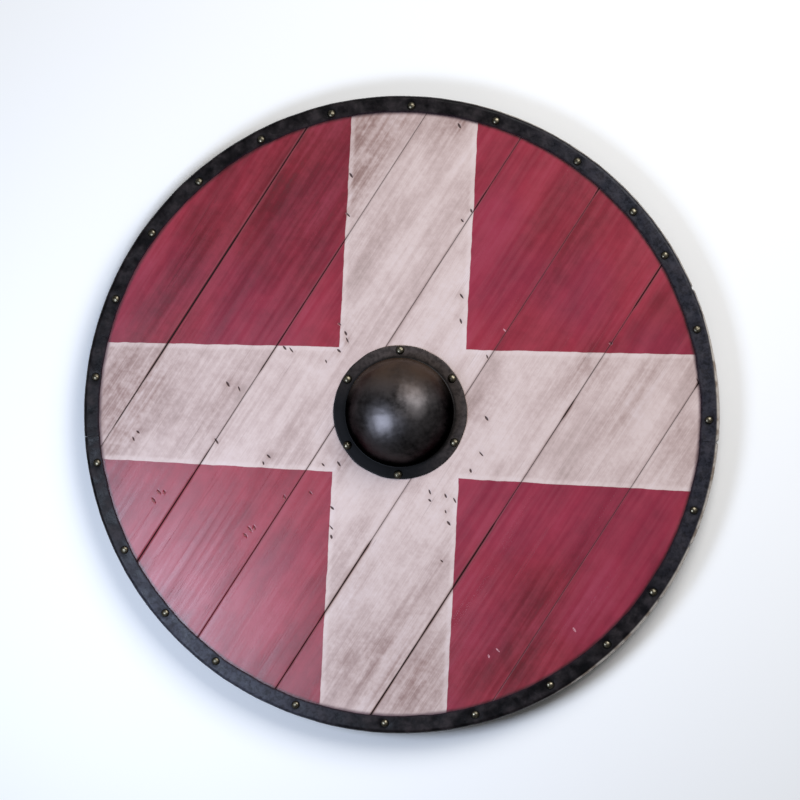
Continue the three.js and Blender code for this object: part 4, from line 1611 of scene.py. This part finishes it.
@dataclass
class GripBatten:
    """The batten across the back: flat below, thinner at its ends, waisted and rounded for the hand."""

    plan: ShieldPlan
    grain: Grain
    half_length: float = 384.0 * MM
    end_thickness: float = 9.0 * MM
    flat_half_length: float = 230.0 * MM
    half_width: float = 20.0 * MM
    end_half_width: float = 13.0 * MM
    grip_half_width: float = 14.0 * MM
    grip_half_length: float = 44.0 * MM
    shoulder_length: float = 26.0 * MM
    # The rounding of the corners at the grip and elsewhere, in millimetres.
    grip_rounding: float = 6.0
    edge_rounding: float = 1.6
    cells_along: int = 260
    cells_round: int = 10

    def build(self, material: Material) -> Piece:
        """Builds the batten.

        Args:
            material: the bare wood.

        Returns:
            Its piece.
        """
        bm = netted_cube((self.cells_along, self.cells_round, self.cells_round))
        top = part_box("grip_batten")[1].z
        turn = Matrix.Rotation(self.grain.slant - math.pi / 2, 3, "Z")
        centre = Vector((self.plan.boss_centre.x, self.plan.boss_centre.y, 0.0))
        for vert in bm.verts:
            vert.co = centre + turn @ self._carve(vert.co, top)
        face_outwards(bm)
        return add_piece("grip_batten_wood", bm, material, ["grip_batten"], 60.0)

    def _carve(self, unit: Vector, top: float) -> Vector:
        """Moves a point of a cube of side 2 to its place on the batten, its length along X.

        Args:
            unit: the point.
            top: the height of the batten's upper face.

        Returns:
            The point's place.
        """
        place = unit.x * self.half_length
        away = abs(place)
        shoulder = ease(away, self.grip_half_length, self.grip_half_length + self.shoulder_length)
        width = blend(self.grip_half_width, self.half_width, shoulder)
        taper = ease(away, self.grip_half_length + self.shoulder_length, self.half_length)
        width = blend(width, self.end_half_width, taper)
        round_off = max(0.0, away - (self.half_length - self.end_half_width)) / self.end_half_width
        width *= math.sqrt(max(0.02, 1.0 - round_off * round_off))
        rise = max(0.0, away - self.flat_half_length) / (self.half_length - self.flat_half_length)
        bottom = (top - self.end_thickness) * rise
        rounding = blend(self.grip_rounding, self.edge_rounding, shoulder) * MM
        half_height = (top - bottom) / 2
        across = unit.y * width
        height = unit.z * half_height
        corner_x = max(0.0, abs(across) - (width - rounding))
        corner_z = max(0.0, abs(height) - (half_height - rounding))
        if corner_x > 0.0 and corner_z > 0.0:
            reach = math.hypot(corner_x, corner_z)
            longest = max(corner_x, corner_z)
            across -= math.copysign(corner_x * (1.0 - longest / reach), across)
            height -= math.copysign(corner_z * (1.0 - longest / reach), height)
        return Vector((place, across, bottom + half_height + height))


@dataclass(frozen=True)
class BareWood:
    """Ash darkened by handling, its grain along the batten."""

    turn: float
    tones: tuple[Colour, ...] = (srgb(124, 96, 64), srgb(176, 144, 102), srgb(206, 176, 134))
    handled: Colour = (0.55, 0.42, 0.34)
    grip_centre: Pair = (-1.0 * MM, 3.0 * MM)

    def build(self) -> Material:
        """Builds the finish.

        Returns:
            The material.
        """
        bench = NodeBench("bare_wood")
        rings = bench.noise(bench.stretch(bench.place, (3.0, 120.0, 120.0), self.turn), 1.0, 3.0, 0.5, 0.2)
        fibres = bench.noise(bench.stretch(bench.place, (14.0, 900.0, 900.0), self.turn), 1.0, 3.0, 0.6)
        tone = rings * 0.7 + fibres * 0.3
        grease = bench.remap(bench.away_from(self.grip_centre), 110.0 * MM, 30.0 * MM, 0.15, 0.8)
        colour = bench.tint(grease, bench.ramp(tone, (0.3, 0.5, 0.7), self.tones), self.handled)
        bench.set(Base_Color=colour, Roughness=bench.remap(tone, 0.3, 0.7, 0.5, 0.66),
                  Normal=bench.bump(fibres, 0.25 * MM, 0.6))
        return bench.material


# ---- Stage ----


@dataclass(frozen=True)
class SoftLight:
    """A square soft light that looks at a point."""

    name: str
    azimuth: float
    elevation: float
    distance: float
    size: float
    power: float
    tint: Colour = (1.0, 1.0, 1.0)
    aim: tuple[float, float, float] = (0.0, 0.0, 0.04)

    def build(self) -> None:
        """Hangs the light."""
        data = bpy.data.lights.new(self.name, "AREA")
        data.shape = "SQUARE"
        data.size = self.size
        data.energy = self.power
        data.color = self.tint
        turn = math.radians(self.azimuth)
        rise = math.radians(self.elevation)
        way = Vector((math.cos(turn) * math.cos(rise), math.sin(turn) * math.cos(rise), math.sin(rise)))
        light = placed(self.name, data)
        light.location = Vector(self.aim) + way * self.distance
        light.rotation_euler = way.to_track_quat("Z", "Y").to_euler()


@dataclass(frozen=True)
class Studio:
    """A pale floor, soft lights and a long lens that looks almost straight down on the face."""

    floor_size: float = 30.0
    floor_tone: Colour = (0.94, 0.94, 0.94)
    frame_width: float = 1.0529
    camera_lean: float = math.radians(5.0)
    camera_distance: float = 24.0
    aim: Pair = (-0.0010, 0.0192)
    sky: float = 0.12
    lights: tuple[SoftLight, ...] = (
        SoftLight("left_light", 211.0, 57.5, 1.15, 0.42, 8.8, (0.69, 0.8, 1.0)),
        SoftLight("right_light", 51.0, 50.0, 2.6, 1.7, 60.0),
    )

    def build(self, plan: ShieldPlan) -> None:
        """Sets up the floor, the lights, the sky and the camera.

        Args:
            plan: where the shield lies.
        """
        scene = bpy.context.scene
        self._floor()
        for light in self.lights:
            light.build()
        world = bpy.data.worlds.new("soft_sky")
        world.use_nodes = True
        glow = world.node_tree.nodes["Background"].inputs
        glow["Color"].default_value = (1.0, 1.0, 1.0, 1.0)
        glow["Strength"].default_value = self.sky
        scene.world = world
        scene.view_settings.view_transform = "Standard"
        self._camera(plan)

    def _floor(self) -> None:
        """A pale, matt floor."""
        bm = bmesh.new()
        bmesh.ops.create_grid(bm, x_segments=1, y_segments=1, size=self.floor_size / 2)
        bench = NodeBench("pale_floor")
        bench.set(Base_Color=self.floor_tone, Roughness=0.9)
        floor = placed("floor", mesh_of("floor", bm))
        floor.data.materials.append(bench.material)

    def _camera(self, plan: ShieldPlan) -> None:
        """A camera over the face, leaning a little to the right of straight above.

        Args:
            plan: where the shield's face lies.
        """
        data = bpy.data.cameras.new("camera")
        data.lens = data.sensor_width * self.camera_distance / self.frame_width
        data.clip_end = 4.0 * self.camera_distance
        camera = placed("camera", data)
        way = Vector((math.sin(self.camera_lean), 0.0, math.cos(self.camera_lean)))
        camera.location = Vector((*self.aim, plan.edging_face)) + way * self.camera_distance
        right = Vector((math.cos(self.camera_lean), 0.0, -math.sin(self.camera_lean)))
        axes = Matrix((right, way.cross(right), way)).transposed()
        camera.rotation_euler = axes.to_euler()
        bpy.context.scene.camera = camera


# ---- Making ----


def main() -> None:
    """Builds the whole scene round the frame, in order."""
    logging.basicConfig(level=logging.INFO, format="%(message)s")
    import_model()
    plan = ShieldPlan.from_frame()
    grain = Grain()
    Studio().build(plan)
    BoardRound(plan, grain).build(PaintedBoards(grain).build())
    nails = Nails(plan)
    Edging(plan, nails.tack_places()).build(BlackLeather().build())
    Boss(plan).build(BlackIron().build())
    nails.build(OldBrass().build())
    GripBatten(plan, grain).build(BareWood(math.pi / 2 - grain.slant).build())


if __name__ == "__main__":
    main()
